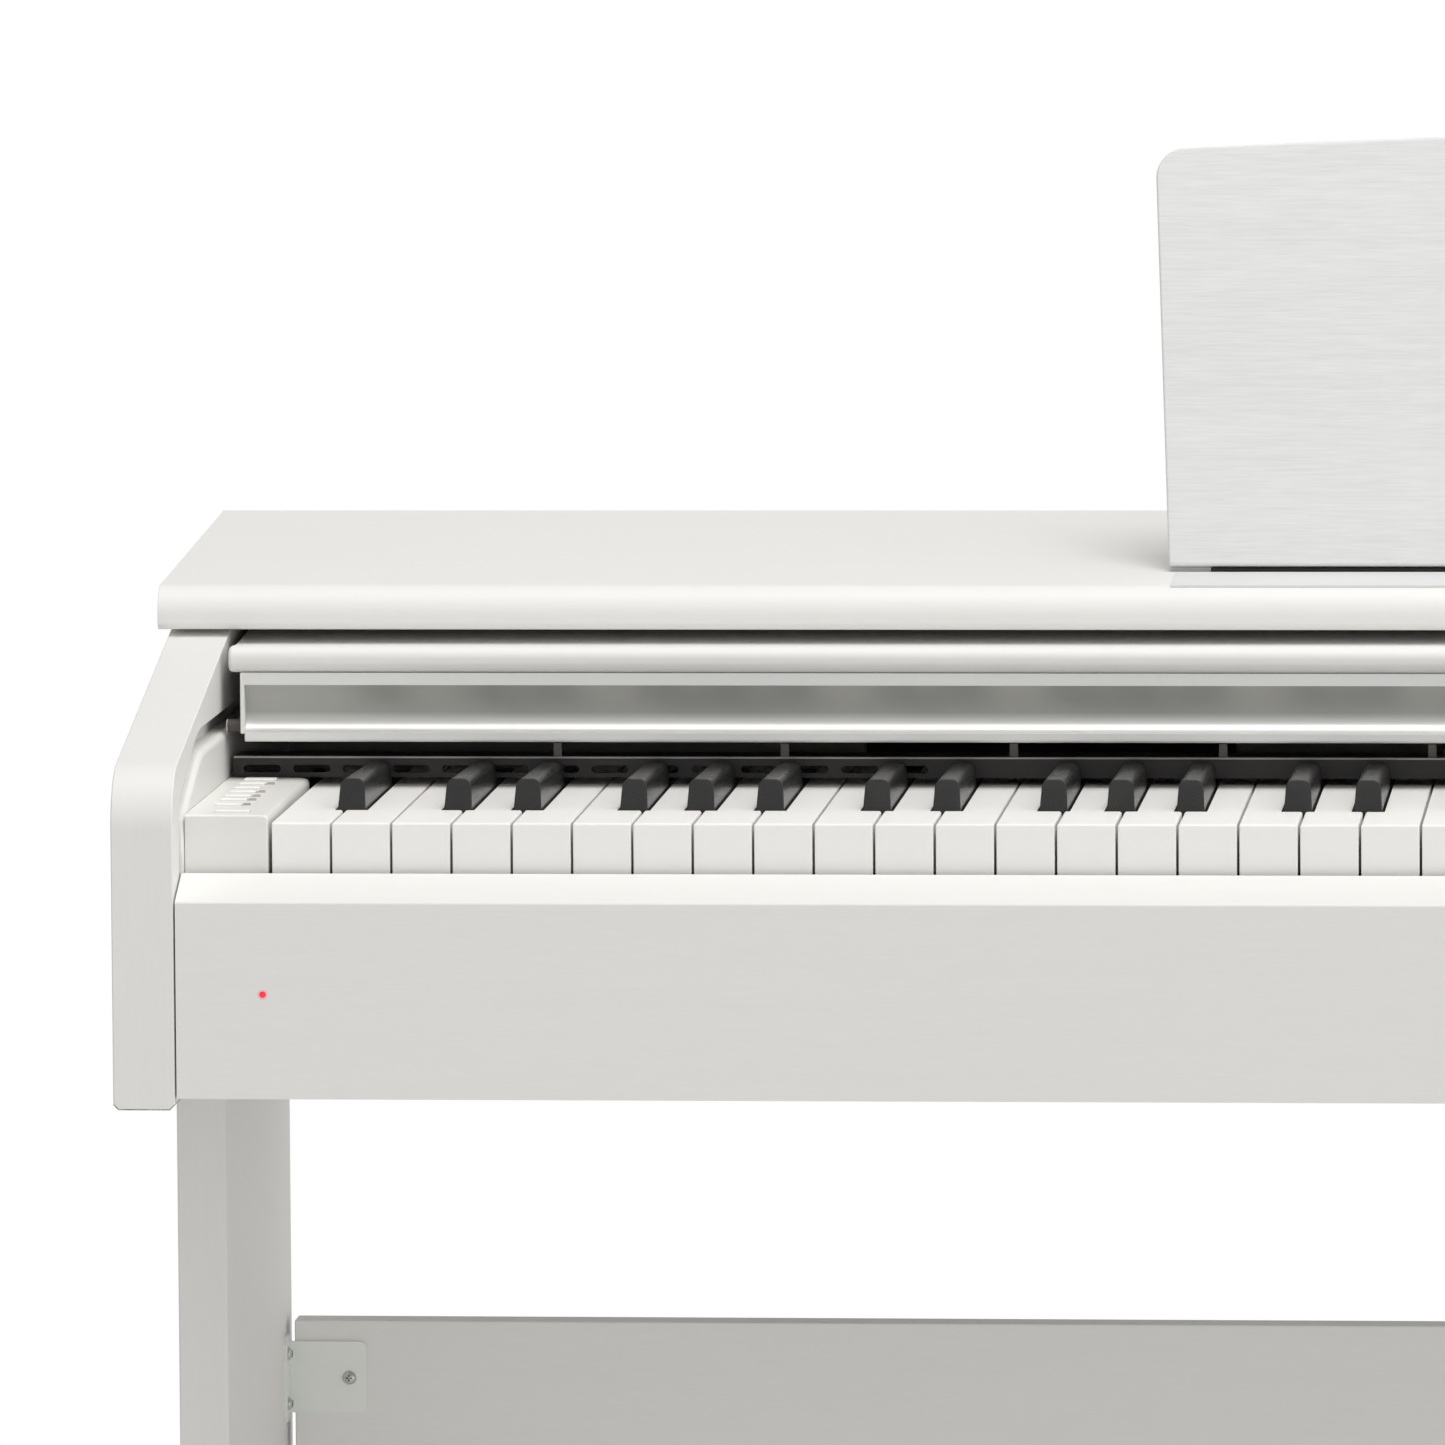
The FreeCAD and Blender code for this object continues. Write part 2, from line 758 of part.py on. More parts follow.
circuit_rest = block("frame_circuit_rest", ("-frame_half", "frame_half"),
                     ("circuit_y + circuit_depth - 2", "circuit_y + circuit_depth + 4"),
                     ("frame_floor", "frame_deck"))
pivot_rod = rod("pivot_rod", ("1 - frame_half", "pivot_y", "pivot_height"), "2 * frame_half - 2", "pivot_rod",
                (1, 0, 0))
node(fuse("key_frame", [frame_body] + end_plates + towers + [rear_rest, circuit_rest, pivot_rod]),
     "key_frame")

front_felt = block("front_felt", ("-keyboard_half", "keyboard_half"),
                   ("frame_front + 2", "frame_front + 2 + felt_depth"), ("frame_deck", "felt_top"))
rear_felt = block("rear_felt", ("-keyboard_half", "keyboard_half"),
                  ("back_felt_y - 7", "back_felt_y + 7"), ("back_felt_top - 3", "back_felt_top"))
node(group("key_felts", [front_felt, rear_felt]), "key_felts")

circuit = block("contact_circuit", ("-keyboard_half", "keyboard_half"),
                ("circuit_y - 3.5", "circuit_y + circuit_depth + 2"),
                ("frame_deck", "frame_deck + circuit_thick"))
rubber = block("contact_rubber", ("-keyboard_half", "keyboard_half"), ("circuit_y + 14", "circuit_y + 34"),
               ("frame_deck + circuit_thick", "frame_deck + circuit_thick + rubber_rise"))
node(fuse("contact_board", [circuit, rubber]), "contact_board")

# ---------------------------------------------------------------- rail behind the keys

rail = new_body("rail_profile")
pad(rail, "YZ_Plane", [
    ("rail_front", "rail_bottom"),
    ("rail_front + rail_wall", "rail_bottom"),
    ("rail_front + rail_wall", "rail_top - rail_wall"),
    ("rail_front + rail_flange", "rail_top - rail_wall"),
    ("rail_front + rail_flange", "rail_top"),
    ("rail_front", "rail_top"),
], "2 * rail_half", middle=True)
SLOT_COUNT = 14
slot_cutters = []
for number in range(SLOT_COUNT):
    middle = "slot_first + %d * slot_pitch" % number
    ends = ["%s %s (slot_length - slot_width) / 2" % (middle, sign) for sign in "-+"]
    slot_cutters.append(block("slot_%d" % number, ends, ("rail_front - 1", "rail_front + rail_wall + 1"),
                              ("slot_height - slot_width / 2", "slot_height + slot_width / 2")))
    for end, x in enumerate(ends):
        slot_cutters.append(rod("slot_%d_end_%d" % (number, end), (x, "rail_front - 1", "slot_height"),
                                "rail_wall + 2", "slot_width / 2", (0, 1, 0)))
node(cut("key_back_rail", rail, slot_cutters), "key_back_rail")

# ---------------------------------------------------------------- blocks beside the keys


def cheek_block(name, x, inner_side):
    body = board(name, x, ("block_front", "block_back"), ("block_base", "block_top"))
    top = SIZES["block_top"] - SIZES["block_base"] - 0.1
    inner = inner_side * SIZES["block_inner"]
    back = SIZES["block_back"]
    soften(body, "Fillet", "block_corner",
           lambda mid, run: along_z(run) and abs(mid.x - inner) < 1 and mid.y > back - 1)
    soften(body, "Fillet", "block_edge", lambda mid, run: mid.z > top and abs(mid.x - inner) < 1)
    soften(body, "Fillet", "block_round",
           lambda mid, run: mid.z > top and along_x(run) and mid.y < back - 100)
    return body


def button(name, x_middle, row, width):
    """One push button, upright in its well in the control block."""
    body = board(name, (x_middle + " - %s / 2" % width, x_middle + " + %s / 2" % width),
                 ("%s - button_depth / 2" % row, "%s + button_depth / 2" % row),
                 ("block_top - button_sunk", "block_top + button_rise"))
    top = SIZES["button_sunk"] + SIZES["button_rise"] - 0.1
    soften(body, "Fillet", "button_edge", lambda mid, run: mid.z > top)
    return body


buttons = [
    ("wide_button_x", WIDE_BUTTON_ROW, "wide_button_width"),
    ("button_x", FRONT_BUTTON_ROW, "button_width"),
]
buttons += [("button_x", row, "button_width") for row in BUTTON_ROWS]
buttons.append(("back_button_x", BACK_BUTTON_ROW, "back_button_width"))

wells = []
for number, (x_middle, row, width) in enumerate(buttons, 1):
    name = "panel_button_%d" % number
    node(button(name, x_middle, row, width), name)
    wells.append(block("button_well_%d" % number,
                       ("%s - %s / 2 - button_gap" % (x_middle, width),
                        "%s + %s / 2 + button_gap" % (x_middle, width)),
                       ("%s - button_depth / 2 - button_gap" % row, "%s + button_depth / 2 + button_gap" % row),
                       ("block_top - button_sunk - 2", "block_top + 5")))

lamps = []
lamp_seats = []
for number, row in enumerate(LAMP_ROWS):
    place_x = ("button_lamp_x - button_lamp_side / 2", "button_lamp_x + button_lamp_side / 2")
    place_y = ("%s - button_lamp_side / 2" % row, "%s + button_lamp_side / 2" % row)
    lamps.append(block("button_lamp_%d" % number, place_x, place_y,
                       ("block_top - lamp_seat_depth", "block_top + button_lamp_rise")))
    lamp_seats.append(block("lamp_seat_%d" % number, place_x, place_y,
                            ("block_top - lamp_seat_depth", "block_top + 5")))
power_lamp = rod("power_lamp_stem", ("lamp_x", "lamp_radius - half_depth", "lamp_height"),
                 "slip_thick - lamp_radius", "lamp_radius", (0, 1, 0))
power_dome = doc.addObject("Part::Sphere", "power_lamp_dome")
bind(power_dome, "Radius", "lamp_radius")
place(power_dome, "lamp_x", "lamp_radius - half_depth", "lamp_height")
node(group("indicator_lamps", lamps + [fuse("power_lamp", [power_lamp, power_dome])]), "indicator_lamps")

left_block = cheek_block("control_block_shell", ("-block_outer", "-block_inner"), -1)
node(cut("control_block", left_block, wells + lamp_seats), "control_block")
node(cheek_block("cheek_block_right", ("block_inner", "block_outer"), 1), "cheek_block_right")

# ---------------------------------------------------------------- key cover


def cover_line(y, height):
    """A height on a line that rises to the back with the cover's slope, from the lip."""
    return "%s + (%s - lip_back) * tan(cover_slope * 1 deg)" % (height, y)


lip = new_body("fallboard_lip")
pad(lip, "YZ_Plane", [
    ("lip_front", "lip_bottom"),
    ("lip_back", "lip_bottom"),
    ("lip_back", "lip_top"),
    ("lip_front", "lip_top"),
], "2 * lip_half", middle=True)
lip_face = SIZES["lip_front"]
lip_crest = SIZES["lip_top"]
soften(lip, "Fillet", "lip_round", lambda mid, run: along_x(run) and mid.y < lip_face + 1)
soften(lip, "Fillet", "lip_back_round",
       lambda mid, run: along_x(run) and mid.y > lip_face + 8 and mid.z > lip_crest - 1)
node(lip, "fallboard_lip")

cover = new_body("fallboard_panel")
cover_back = "lip_back + cover_panel_length"
pad(cover, "YZ_Plane", [
    ("lip_back", cover_line("lip_back", "cover_panel_bottom")),
    (cover_back, cover_line("(%s)" % cover_back, "cover_panel_bottom")),
    (cover_back, cover_line("(%s)" % cover_back, "cover_panel_bottom + cover_panel_thick")),
    ("lip_back", cover_line("lip_back", "cover_panel_bottom + cover_panel_thick")),
], "2 * lip_half", middle=True)
node(cover, "fallboard_panel")

trim_block = new_body("trim_profile")
pad(trim_block, "YZ_Plane", [
    ("trim_front", "trim_top"),
    ("trim_front", "trim_bottom"),
    ("trim_back", "trim_bottom"),
    ("trim_back", "trim_top"),
], "2 * trim_half", middle=True)
trim_low = SIZES["trim_bottom"] + 1
trim_face = SIZES["trim_front"]
soften(trim_block, "Fillet", "trim_round",
       lambda mid, run: along_x(run) and mid.z < trim_low and mid.y < trim_face + 1)
COVE_RUN = ("-trim_half - 5", "trim_half + 5")
cove_halves = []
for half, low, high in (("high", "cove_height", "strip_bottom + 20"), ("low", "trim_bottom - 20", "cove_height")):
    radius = "cove_%s_radius" % half
    round_bar = rod("cove_%s_bar" % half, (COVE_RUN[0], "trim_front + cove_depth - " + radius, "cove_height"),
                    "2 * trim_half + 10", radius, (1, 0, 0))
    keep = block("cove_%s_part" % half, COVE_RUN, ("trim_front - 50", "trim_back"), (low, high))
    cove_halves.append(common("cove_%s" % half, round_bar, keep))
node(cut("fallboard_trim", trim_block, cove_halves), "fallboard_trim")

caps = []
for number, sign in enumerate(("-", "")):
    low, high = ("-cap_half", "-trim_half") if sign else ("trim_half", "cap_half")
    plate = block("cap_plate_%d" % number, (low, high), ("trim_front - cap_proud", "trim_back"),
                  ("trim_bottom + cap_lift", "trim_top"))
    stub = rod("cap_stub_%d" % number, (sign + "(cap_half - 0.5)", "stub_y", "stub_height"),
               "stub_end - cap_half + 0.5", "stub_radius", (-1 if sign else 1, 0, 0))
    caps.append(fuse("cap_%d" % number, [plate, stub]))
node(group("fallboard_end_caps", caps), "fallboard_end_caps")


def track(name, side):
    """Ledge along the arm that the cover's edge slides on."""
    body = new_body(name)
    ledge = "cover_panel_bottom - track_gap"
    pad(body, "YZ_Plane", [
        ("track_front", cover_line("track_front", ledge + " - track_ledge")),
        ("track_back", cover_line("track_back", ledge + " - track_ledge")),
        ("track_back", cover_line("track_back", ledge)),
        ("track_front", cover_line("track_front", ledge)),
    ], "arm_inner - track_inner")
    place(body, "track_inner" if side > 0 else "-arm_inner")
    return body


node(group("fallboard_tracks", [track("track_left", -1), track("track_right", 1)]), "fallboard_tracks")

# ---------------------------------------------------------------- music rest

rest_strip = new_body("rest_strip")
pad(rest_strip, "YZ_Plane", [
    ("rest_strip_front", lid_line("rest_strip_front", STRIP_FLOOR)),
    ("rest_strip_back", lid_line("rest_strip_back", STRIP_FLOOR)),
    ("rest_strip_back", lid_line("rest_strip_back", STRIP_TOP)),
    ("rest_strip_front", lid_line("rest_strip_front", STRIP_TOP)),
], "2 * strip_half", middle=True)
node(rest_strip, "rest_strip")

PIVOT_HEIGHT = lid_line("rest_pivot_y", "lid_thick + rest_pivot_lift")


def turned(item, angle):
    """Leans an item back about X by a formula in degrees."""
    item.Placement.Rotation = FreeCAD.Rotation(FreeCAD.Vector(-1, 0, 0), 10)
    bind(item, "Placement.Rotation.Angle", angle)
    return item


def on_rest(item, x, y, z):
    """Stands an item on the leaning music rest, x, y and z being measured along it from the hinge axis."""
    turned(item, "rest_lean")
    return place(
        item, x,
        "rest_pivot_y + (%s) * cos(rest_lean * 1 deg) + (%s) * sin(rest_lean * 1 deg)" % (y, z),
        "%s - (%s) * sin(rest_lean * 1 deg) + (%s) * cos(rest_lean * 1 deg)" % (PIVOT_HEIGHT, y, z),
    )


# Drawn upright around the hinge axis: X across, Z up the panel, and the panel in front of the axis.
rest_panel = new_body("rest_panel_body")
pad(rest_panel, "XZ_Plane", [
    ("-rest_half_low", "rest_heel"),
    ("rest_half_low", "rest_heel"),
    ("rest_half_high", "rest_heel + rest_length"),
    ("0", "rest_heel + rest_length + rest_apex"),
    ("-rest_half_high", "rest_heel + rest_length"),
], "rest_thick")
soften(rest_panel, "Fillet", "rest_arch_radius", lambda mid, run: along_y(run) and abs(mid.x) < 1)
rest_high = SIZES["rest_heel"] + SIZES["rest_length"] - 1
rest_edge_x = SIZES["rest_half_high"] - 1
soften(rest_panel, "Fillet", "rest_corner",
       lambda mid, run: along_y(run) and mid.z > rest_high and abs(mid.x) > rest_edge_x)
soften(rest_panel, "Fillet", "rest_round", lambda mid, run: mid.y < -SIZES["rest_thick"] + 0.1)
on_rest(rest_panel, "0", "-rest_offset", "0")
node(rest_panel, "music_rest_panel")

HINGES = ["-hinge_x", "hinge_x"]
STAYS = ["-hinge_x / 2", "hinge_x / 2"]

leaves = []
brackets = []
for number, middle in enumerate(HINGES):
    plate = block("leaf_plate_%d" % number, ("0", "hinge_width - 8"), ("0", "1.2"), ("0", "24"))
    on_rest(plate, middle + " - hinge_width / 2 + 4", "-rest_offset", "0")
    barrel = doc.addObject("Part::Cylinder", "leaf_barrel_%d" % number)
    bind(barrel, "Radius", "rest_pivot_lift - 0.2")
    bind(barrel, "Height", "hinge_width - 8")
    barrel.Placement.Rotation = FreeCAD.Rotation(FreeCAD.Vector(0, 1, 0), 90)
    place(barrel, middle + " - hinge_width / 2 + 4", "rest_pivot_y", PIVOT_HEIGHT)
    pin_hole = rod("leaf_hole_%d" % number, (middle + " - hinge_width", "rest_pivot_y", PIVOT_HEIGHT),
                   "2 * hinge_width", "rest_pin_hole", (1, 0, 0))
    leaves.append(cut("leaf_%d" % number, fuse("leaf_blank_%d" % number, [plate, barrel]), [pin_hole]))

    pin = rod("bracket_pin_%d" % number, (middle + " - hinge_width / 2", "rest_pivot_y", PIVOT_HEIGHT),
              "hinge_width", "rest_pin", (1, 0, 0))
    pieces = [pin]
    for end, start in enumerate(["%s - hinge_width / 2" % middle, "%s + hinge_width / 2 - 3.4" % middle]):
        pieces.append(rod("bracket_ear_%d_%d" % (number, end), (start, "rest_pivot_y", PIVOT_HEIGHT), "3.4",
                          "rest_pivot_lift", (1, 0, 0)))
        pieces.append(block("bracket_base_%d_%d" % (number, end), (start, start + " + 3.4"),
                            ("rest_pivot_y - 2.4", "rest_pivot_y + 2.4"),
                            (lid_line("(rest_pivot_y - 2.4)", "lid_thick - 1"), PIVOT_HEIGHT)))
    brackets.append(cut("bracket_%d" % number, fuse("bracket_blank_%d" % number, pieces), [top_board]))

clips = []
for number, middle in enumerate(STAYS):
    clip = block("clip_block_%d" % number, ("0", "14"), ("0", "rest_offset + stay_wire + 0.6"), ("0", "6"))
    on_rest(clip, middle + " - 7", "-rest_offset", "stay_arm - 3")
    clip_hole = doc.addObject("Part::Cylinder", "clip_hole_%d" % number)
    bind(clip_hole, "Radius", "stay_wire + 0.05")
    bind(clip_hole, "Height", "20")
    clip_hole.Placement.Rotation = FreeCAD.Rotation(FreeCAD.Vector(0, 1, 0), 90)
    place(clip_hole, middle + " - 10", "rest_pivot_y + stay_arm * sin(rest_lean * 1 deg)",
          PIVOT_HEIGHT + " + stay_arm * cos(rest_lean * 1 deg)")
    clips.append(cut("clip_%d" % number, clip, [clip_hole]))
node(group("music_rest_leaves", leaves + clips), "music_rest_leaves")
node(group("music_rest_brackets", brackets), "music_rest_brackets")


def wire_stay(name, middle):
    """A rectangular wire frame hanging from its top bar; its foot bar rests on the lid."""
    pieces = [
        rod(name + "_top", ("-stay_half", "0", "0"), "2 * stay_half", "stay_wire", (1, 0, 0)),
        rod(name + "_foot", ("-stay_half", "0", "-stay_arm"), "2 * stay_half", "stay_wire", (1, 0, 0)),
    ]
    for sign in ("-", ""):
        side = "left" if sign else "right"
        pieces.append(rod("%s_%s" % (name, side), (sign + "stay_half", "0", "-stay_arm"), "stay_arm",
                          "stay_wire", (0, 0, 1)))
        for height in ("0", "-stay_arm"):
            corner = doc.addObject("Part::Sphere", "%s_corner" % name)
            bind(corner, "Radius", "stay_wire")
            pieces.append(place(corner, sign + "stay_half", "0", height))
    frame = fuse(name, pieces)
    frame.Placement.Rotation = FreeCAD.Rotation(FreeCAD.Vector(1, 0, 0), 10)
    bind(frame, "Placement.Rotation.Angle", "rest_lean + 2 * lid_slope")
    return place(frame, middle, "rest_pivot_y + stay_arm * sin(rest_lean * 1 deg)",
                 PIVOT_HEIGHT + " + stay_arm * cos(rest_lean * 1 deg)")


stays = [wire_stay("stay_%d" % number, middle) for number, middle in enumerate(STAYS)]
node(group("music_rest_stays", stays), "music_rest_stays")

# ---------------------------------------------------------------- stand


def mirrored_range(side, low, high):
    return (low, high) if side > 0 else ("-" + high, "-" + low)


for side, word in ((-1, "left"), (1, "right")):
    leg = board("leg_" + word, mirrored_range(side, "leg_inner", "leg_outer"), ("leg_front", "leg_back"),
                ("foot_height", "arm_bottom"), "leg_round", lambda mid, run: along_z(run))
    node(leg, "leg_" + word)
    foot = board("foot_" + word, mirrored_range(side, "foot_inner", "foot_outer"), ("foot_front", "foot_back"),
                 ("0", "foot_height"))
    foot_top = SIZES["foot_height"] - 0.1
    foot_tip = SIZES["foot_front"] + 1
    soften(foot, "Fillet", "foot_round",
           lambda mid, run: mid.z > foot_top and along_x(run) and mid.y < foot_tip)
    soften(foot, "Fillet", "foot_edge", lambda mid, run: mid.z > 1 and not along_x(run) and run.Length > 5)
    node(foot, "foot_" + word)

panel_edge = SIZES["panel_top"] - SIZES["panel_bottom"] - 1
back_panel = board("back_panel", ("-panel_half", "panel_half"), ("panel_front", "panel_front + panel_thick"),
                   ("panel_bottom", "panel_top"), "panel_round",
                   lambda mid, run: mid.z > panel_edge and along_x(run))
node(back_panel, "back_panel")

casing = new_body("pedal_casing")
pad(casing, "YZ_Plane", [
    ("box_front", "box_bottom"),
    ("box_front + box_wall", "box_bottom"),
    ("box_front + box_wall", "panel_bottom - box_wall"),
    ("panel_front", "panel_bottom - box_wall"),
    ("panel_front", "box_bottom"),
    ("panel_front + panel_thick", "box_bottom"),
    ("panel_front + panel_thick", "panel_bottom"),
    ("box_front", "panel_bottom"),
], "2 * leg_inner", middle=True)
casing_front = SIZES["box_front"]
casing_top = SIZES["panel_bottom"]
soften(casing, "Fillet", "box_round",
       lambda mid, run: along_x(run) and mid.y < casing_front + 1 and mid.z > casing_top - 1)
PEDALS = {"left": "-pedal_spacing", "middle": "0", "right": "pedal_spacing"}
slots = [
    block("pedal_slot_" + word, (middle + " - pedal_slot / 2", middle + " + pedal_slot / 2"),
          ("box_front - 1", "box_front + box_wall + 1"),
          ("pedal_bottom - pedal_slot_below", "pedal_bottom + pedal_thick + pedal_slot_above"))
    for word, middle in PEDALS.items()
]
node(cut("pedal_box", casing, slots), "pedal_box")


def pedal(name, middle):
    """Lever with a rounded, drooping tip, turning on a pin near its back end."""
    body = new_body(name)
    pad(body, "YZ_Plane", [
        ("pedal_front", "pedal_bottom - pedal_droop"),
        ("pedal_front + pedal_toe", "pedal_bottom"),
        ("pedal_back", "pedal_bottom + 4"),
        ("pedal_back", "pedal_bottom + pedal_thick + 9"),
        ("pedal_pivot_y - 14", "pedal_bottom + pedal_thick + 9"),
        ("box_front + box_wall", "pedal_bottom + pedal_thick + 1"),
        ("pedal_front + pedal_toe + 4", "pedal_bottom + pedal_thick"),
        ("pedal_front", "pedal_bottom + pedal_thick - pedal_droop - 2"),
    ], "pedal_width", middle=True)
    tip = SIZES["pedal_front"]
    soften(body, "Fillet", "pedal_tip_round", lambda mid, run: along_z(run) and mid.y < tip + 1)
    top = SIZES["pedal_bottom"] + SIZES["pedal_thick"] - 8
    soften(body, "Fillet", "pedal_round",
           lambda mid, run: mid.z > top and not along_x(run) and mid.y < tip + 90)
    drill(body, "pedal_hole", ("-pedal_width", "pedal_pivot_y", "pedal_pivot_height"), "2 * pedal_width",
          (1, 0, 0))
    return place(body, middle)


for word, middle in PEDALS.items():
    node(pedal("pedal_" + word, middle), "pedal_" + word)
frame_pieces = [rod("pedal_pin", ("-pedal_spacing - 24", "pedal_pivot_y", "pedal_pivot_height"),
                    "2 * pedal_spacing + 48", "pedal_pin", (1, 0, 0))]
cheek_places = ["-pedal_spacing - 22", "-pedal_spacing / 2", "pedal_spacing / 2", "pedal_spacing + 22"]
for number, middle in enumerate(cheek_places):
    frame_pieces.append(block("pedal_cheek_%d" % number, (middle + " - 2", middle + " + 2"),
                              ("pedal_pivot_y - 12", "pedal_pivot_y + 12"),
                              ("pedal_pivot_height - 8", "panel_bottom - box_wall")))
frame_pieces.append(block("pedal_plate", ("-pedal_spacing - 24", "pedal_spacing + 24"),
                          ("box_front + box_wall + 6", "panel_front - 2"),
                          ("panel_bottom - box_wall - 3", "panel_bottom - box_wall")))
node(fuse("pedal_frame", frame_pieces), "pedal_frame")

adjuster_disc = rod("adjuster_disc", ("0", "(box_front + panel_front + panel_thick) / 2", "0"), "adjuster_plate",
                    "adjuster_radius", (0, 0, 1))
adjuster_bar = block("adjuster_bar", ("-30", "30"), ("box_front + 2", "panel_front + panel_thick - 2"),
                     ("box_bottom - 6", "box_bottom"))
adjuster_stem = rod("adjuster_stem", ("0", "(box_front + panel_front + panel_thick) / 2", "0"), "box_bottom",
                    "adjuster_stem", (0, 0, 1))
node(fuse("adjuster_foot", [adjuster_disc, adjuster_stem, adjuster_bar]), "adjuster_foot")


FLANGE_SCREWS = ["bracket_low + flange_screw_inset", "bracket_high - flange_screw_inset"]
FLANGE_SCREW_Y = "panel_front - bracket_lip + flange_screw_depth"
REAR_SCREWS = ["%d * rear_screw_pitch" % step for step in (-2, -1, 0, 1, 2)]


def corner_bracket(name, side):
    """Pressed steel angle: a plate on the back panel and a narrow flange on the leg."""
    plate = board(name + "_plate", mirrored_range(side, "bracket_inner", "bracket_outer"),
                  ("panel_front - bracket_wall", "panel_front"), ("bracket_low", "bracket_high"))
    inner = SIZES["bracket_inner"] + 1
    soften(plate, "Fillet", "bracket_corner", lambda mid, run: along_y(run) and abs(mid.x) < inner)
    flange = board(name + "_flange", mirrored_range(side, "bracket_outer", "leg_inner"),
                   ("panel_front - bracket_lip", "panel_front"), ("bracket_low - 3", "bracket_high + 3"))
    lip_y = SIZES["panel_front"] - SIZES["bracket_lip"] + 1
    soften(flange, "Chamfer", "3", lambda mid, run: along_x(run) and mid.y < lip_y)
    sign = "-" if side < 0 else ""
    holes = [rod(name + "_plate_hole", (sign + "bracket_screw_x", "panel_front - 5", "bracket_screw_height"),
                 "10", "screw_hole", (0, 1, 0))]
    for number, height in enumerate(FLANGE_SCREWS):
        start = ("-leg_inner - 5" if side < 0 else "leg_inner - 5", FLANGE_SCREW_Y, height)
        holes.append(rod("%s_flange_hole_%d" % (name, number), start, "10", "screw_hole", (1, 0, 0)))
    return cut(name, fuse(name + "_blank", [plate, flange]), holes)


corner_brackets = [corner_bracket("bracket_left", -1), corner_bracket("bracket_right", 1)]
node(group("corner_brackets", corner_brackets), "corner_brackets")


def screw(name, start, along, length="screw_length"):
    """Dome-head screw; start is under its head, and its shank points along the direction."""
    shank = rod(name + "_shank", start, length, "screw_shank", along)
    ball = doc.addObject("Part::Sphere", name + "_ball")
    bind(ball, "Radius", "screw_ball")
    place(ball, *["%s + (%d) * screw_ball_depth" % (text, step) for text, step in zip(start, along)])
    disc = rod(name + "_disc", start, "2 * screw_head_rise", "screw_ball + 1", [-step for step in along])
    dome = doc.addObject("Part::Common", name + "_dome")
    dome.Base = ball
    dome.Tool = disc
    return fuse(name, [shank, dome])


screws = []
for side, word, sign in ((-1, "left", "-"), (1, "right", "")):
    for number, height in enumerate(FLANGE_SCREWS):
        screws.append(screw("flange_screw_%s_%d" % (word, number),
                            (sign + "bracket_outer", FLANGE_SCREW_Y, height), (side, 0, 0)))
    screws.append(screw("plate_screw_" + word, (sign + "bracket_screw_x", "panel_front - bracket_wall",
                                                "bracket_screw_height"), (0, 1, 0)))
for number, x in enumerate(REAR_SCREWS):
    start = (x, "bed_back + rear_board_thick", "bed_bottom + bed_thick / 2")
    screws.append(screw("rear_screw_%d" % number, start, (0, -1, 0), "long_screw"))
node(group("stand_screws", screws), "stand_screws")

# ---------------------------------------------------------------- electrics

speakers = []
for number, sign in enumerate(("-", "")):
    floor = "bed_bottom + bed_thick"
    flange = rod("speaker_flange_%d" % number, (sign + "speaker_x", "speaker_y", floor), "speaker_flange",
                 "speaker_radius", (0, 0, 1))
    cone = doc.addObject("Part::Cone", "speaker_cone_%d" % number)
    bind(cone, "Radius1", "speaker_hole")
    bind(cone, "Radius2", "magnet_radius - 8")
    bind(cone, "Height", "speaker_cone")
    place(cone, sign + "speaker_x", "speaker_y", floor + " + speaker_flange")
    magnet = rod("speaker_magnet_%d" % number,
                 (sign + "speaker_x", "speaker_y", floor + " + speaker_flange + speaker_cone"),
                 "magnet_height", "magnet_radius", (0, 0, 1))
    hollow = doc.addObject("Part::Cone", "speaker_hollow_%d" % number)
    bind(hollow, "Radius1", "speaker_hole - 3")
    bind(hollow, "Radius2", "magnet_radius - 14")
    bind(hollow, "Height", "speaker_cone")
    place(hollow, sign + "speaker_x", "speaker_y", floor)
    shell = fuse("speaker_body_%d" % number, [flange, cone, magnet])
    speakers.append(cut("speaker_%d" % number, shell, [hollow]))
node(group("speakers", speakers), "speakers")

BED_TOP = "bed_bottom + bed_thick"
MAIN_FLOOR = BED_TOP + " + main_board_lift"
MAIN_TOP = MAIN_FLOOR + " + circuit_thick"
main_plate = block("main_plate", ("-main_board_half", "main_board_half"),
                   ("main_board_front", "main_board_back"), (MAIN_FLOOR, MAIN_TOP))
spacers = [
    rod("main_spacer_%d%d" % (column, line), (x, y, BED_TOP), "main_board_lift", "3", (0, 0, 1))
    for column, x in enumerate(("10 - main_board_half", "main_board_half - 10"))
    for line, y in enumerate(("main_board_front + 8", "main_board_back - 8"))
]
chips = [
    block("main_chip_%d" % number, (x, x + " + " + width), (y, y + " + " + depth),
          (MAIN_TOP, MAIN_TOP + " + " + rise))
    for number, (x, y, width, depth, rise) in enumerate([
        ("-20", "100", "28", "28", "3"),
        ("40", "110", "16", "16", "2.5"),
        ("-100", "96", "34", "22", "26"),
        ("90", "120", "18", "24", "14"),
    ])
]
node(fuse("main_board", [main_plate] + spacers + chips), "main_board")

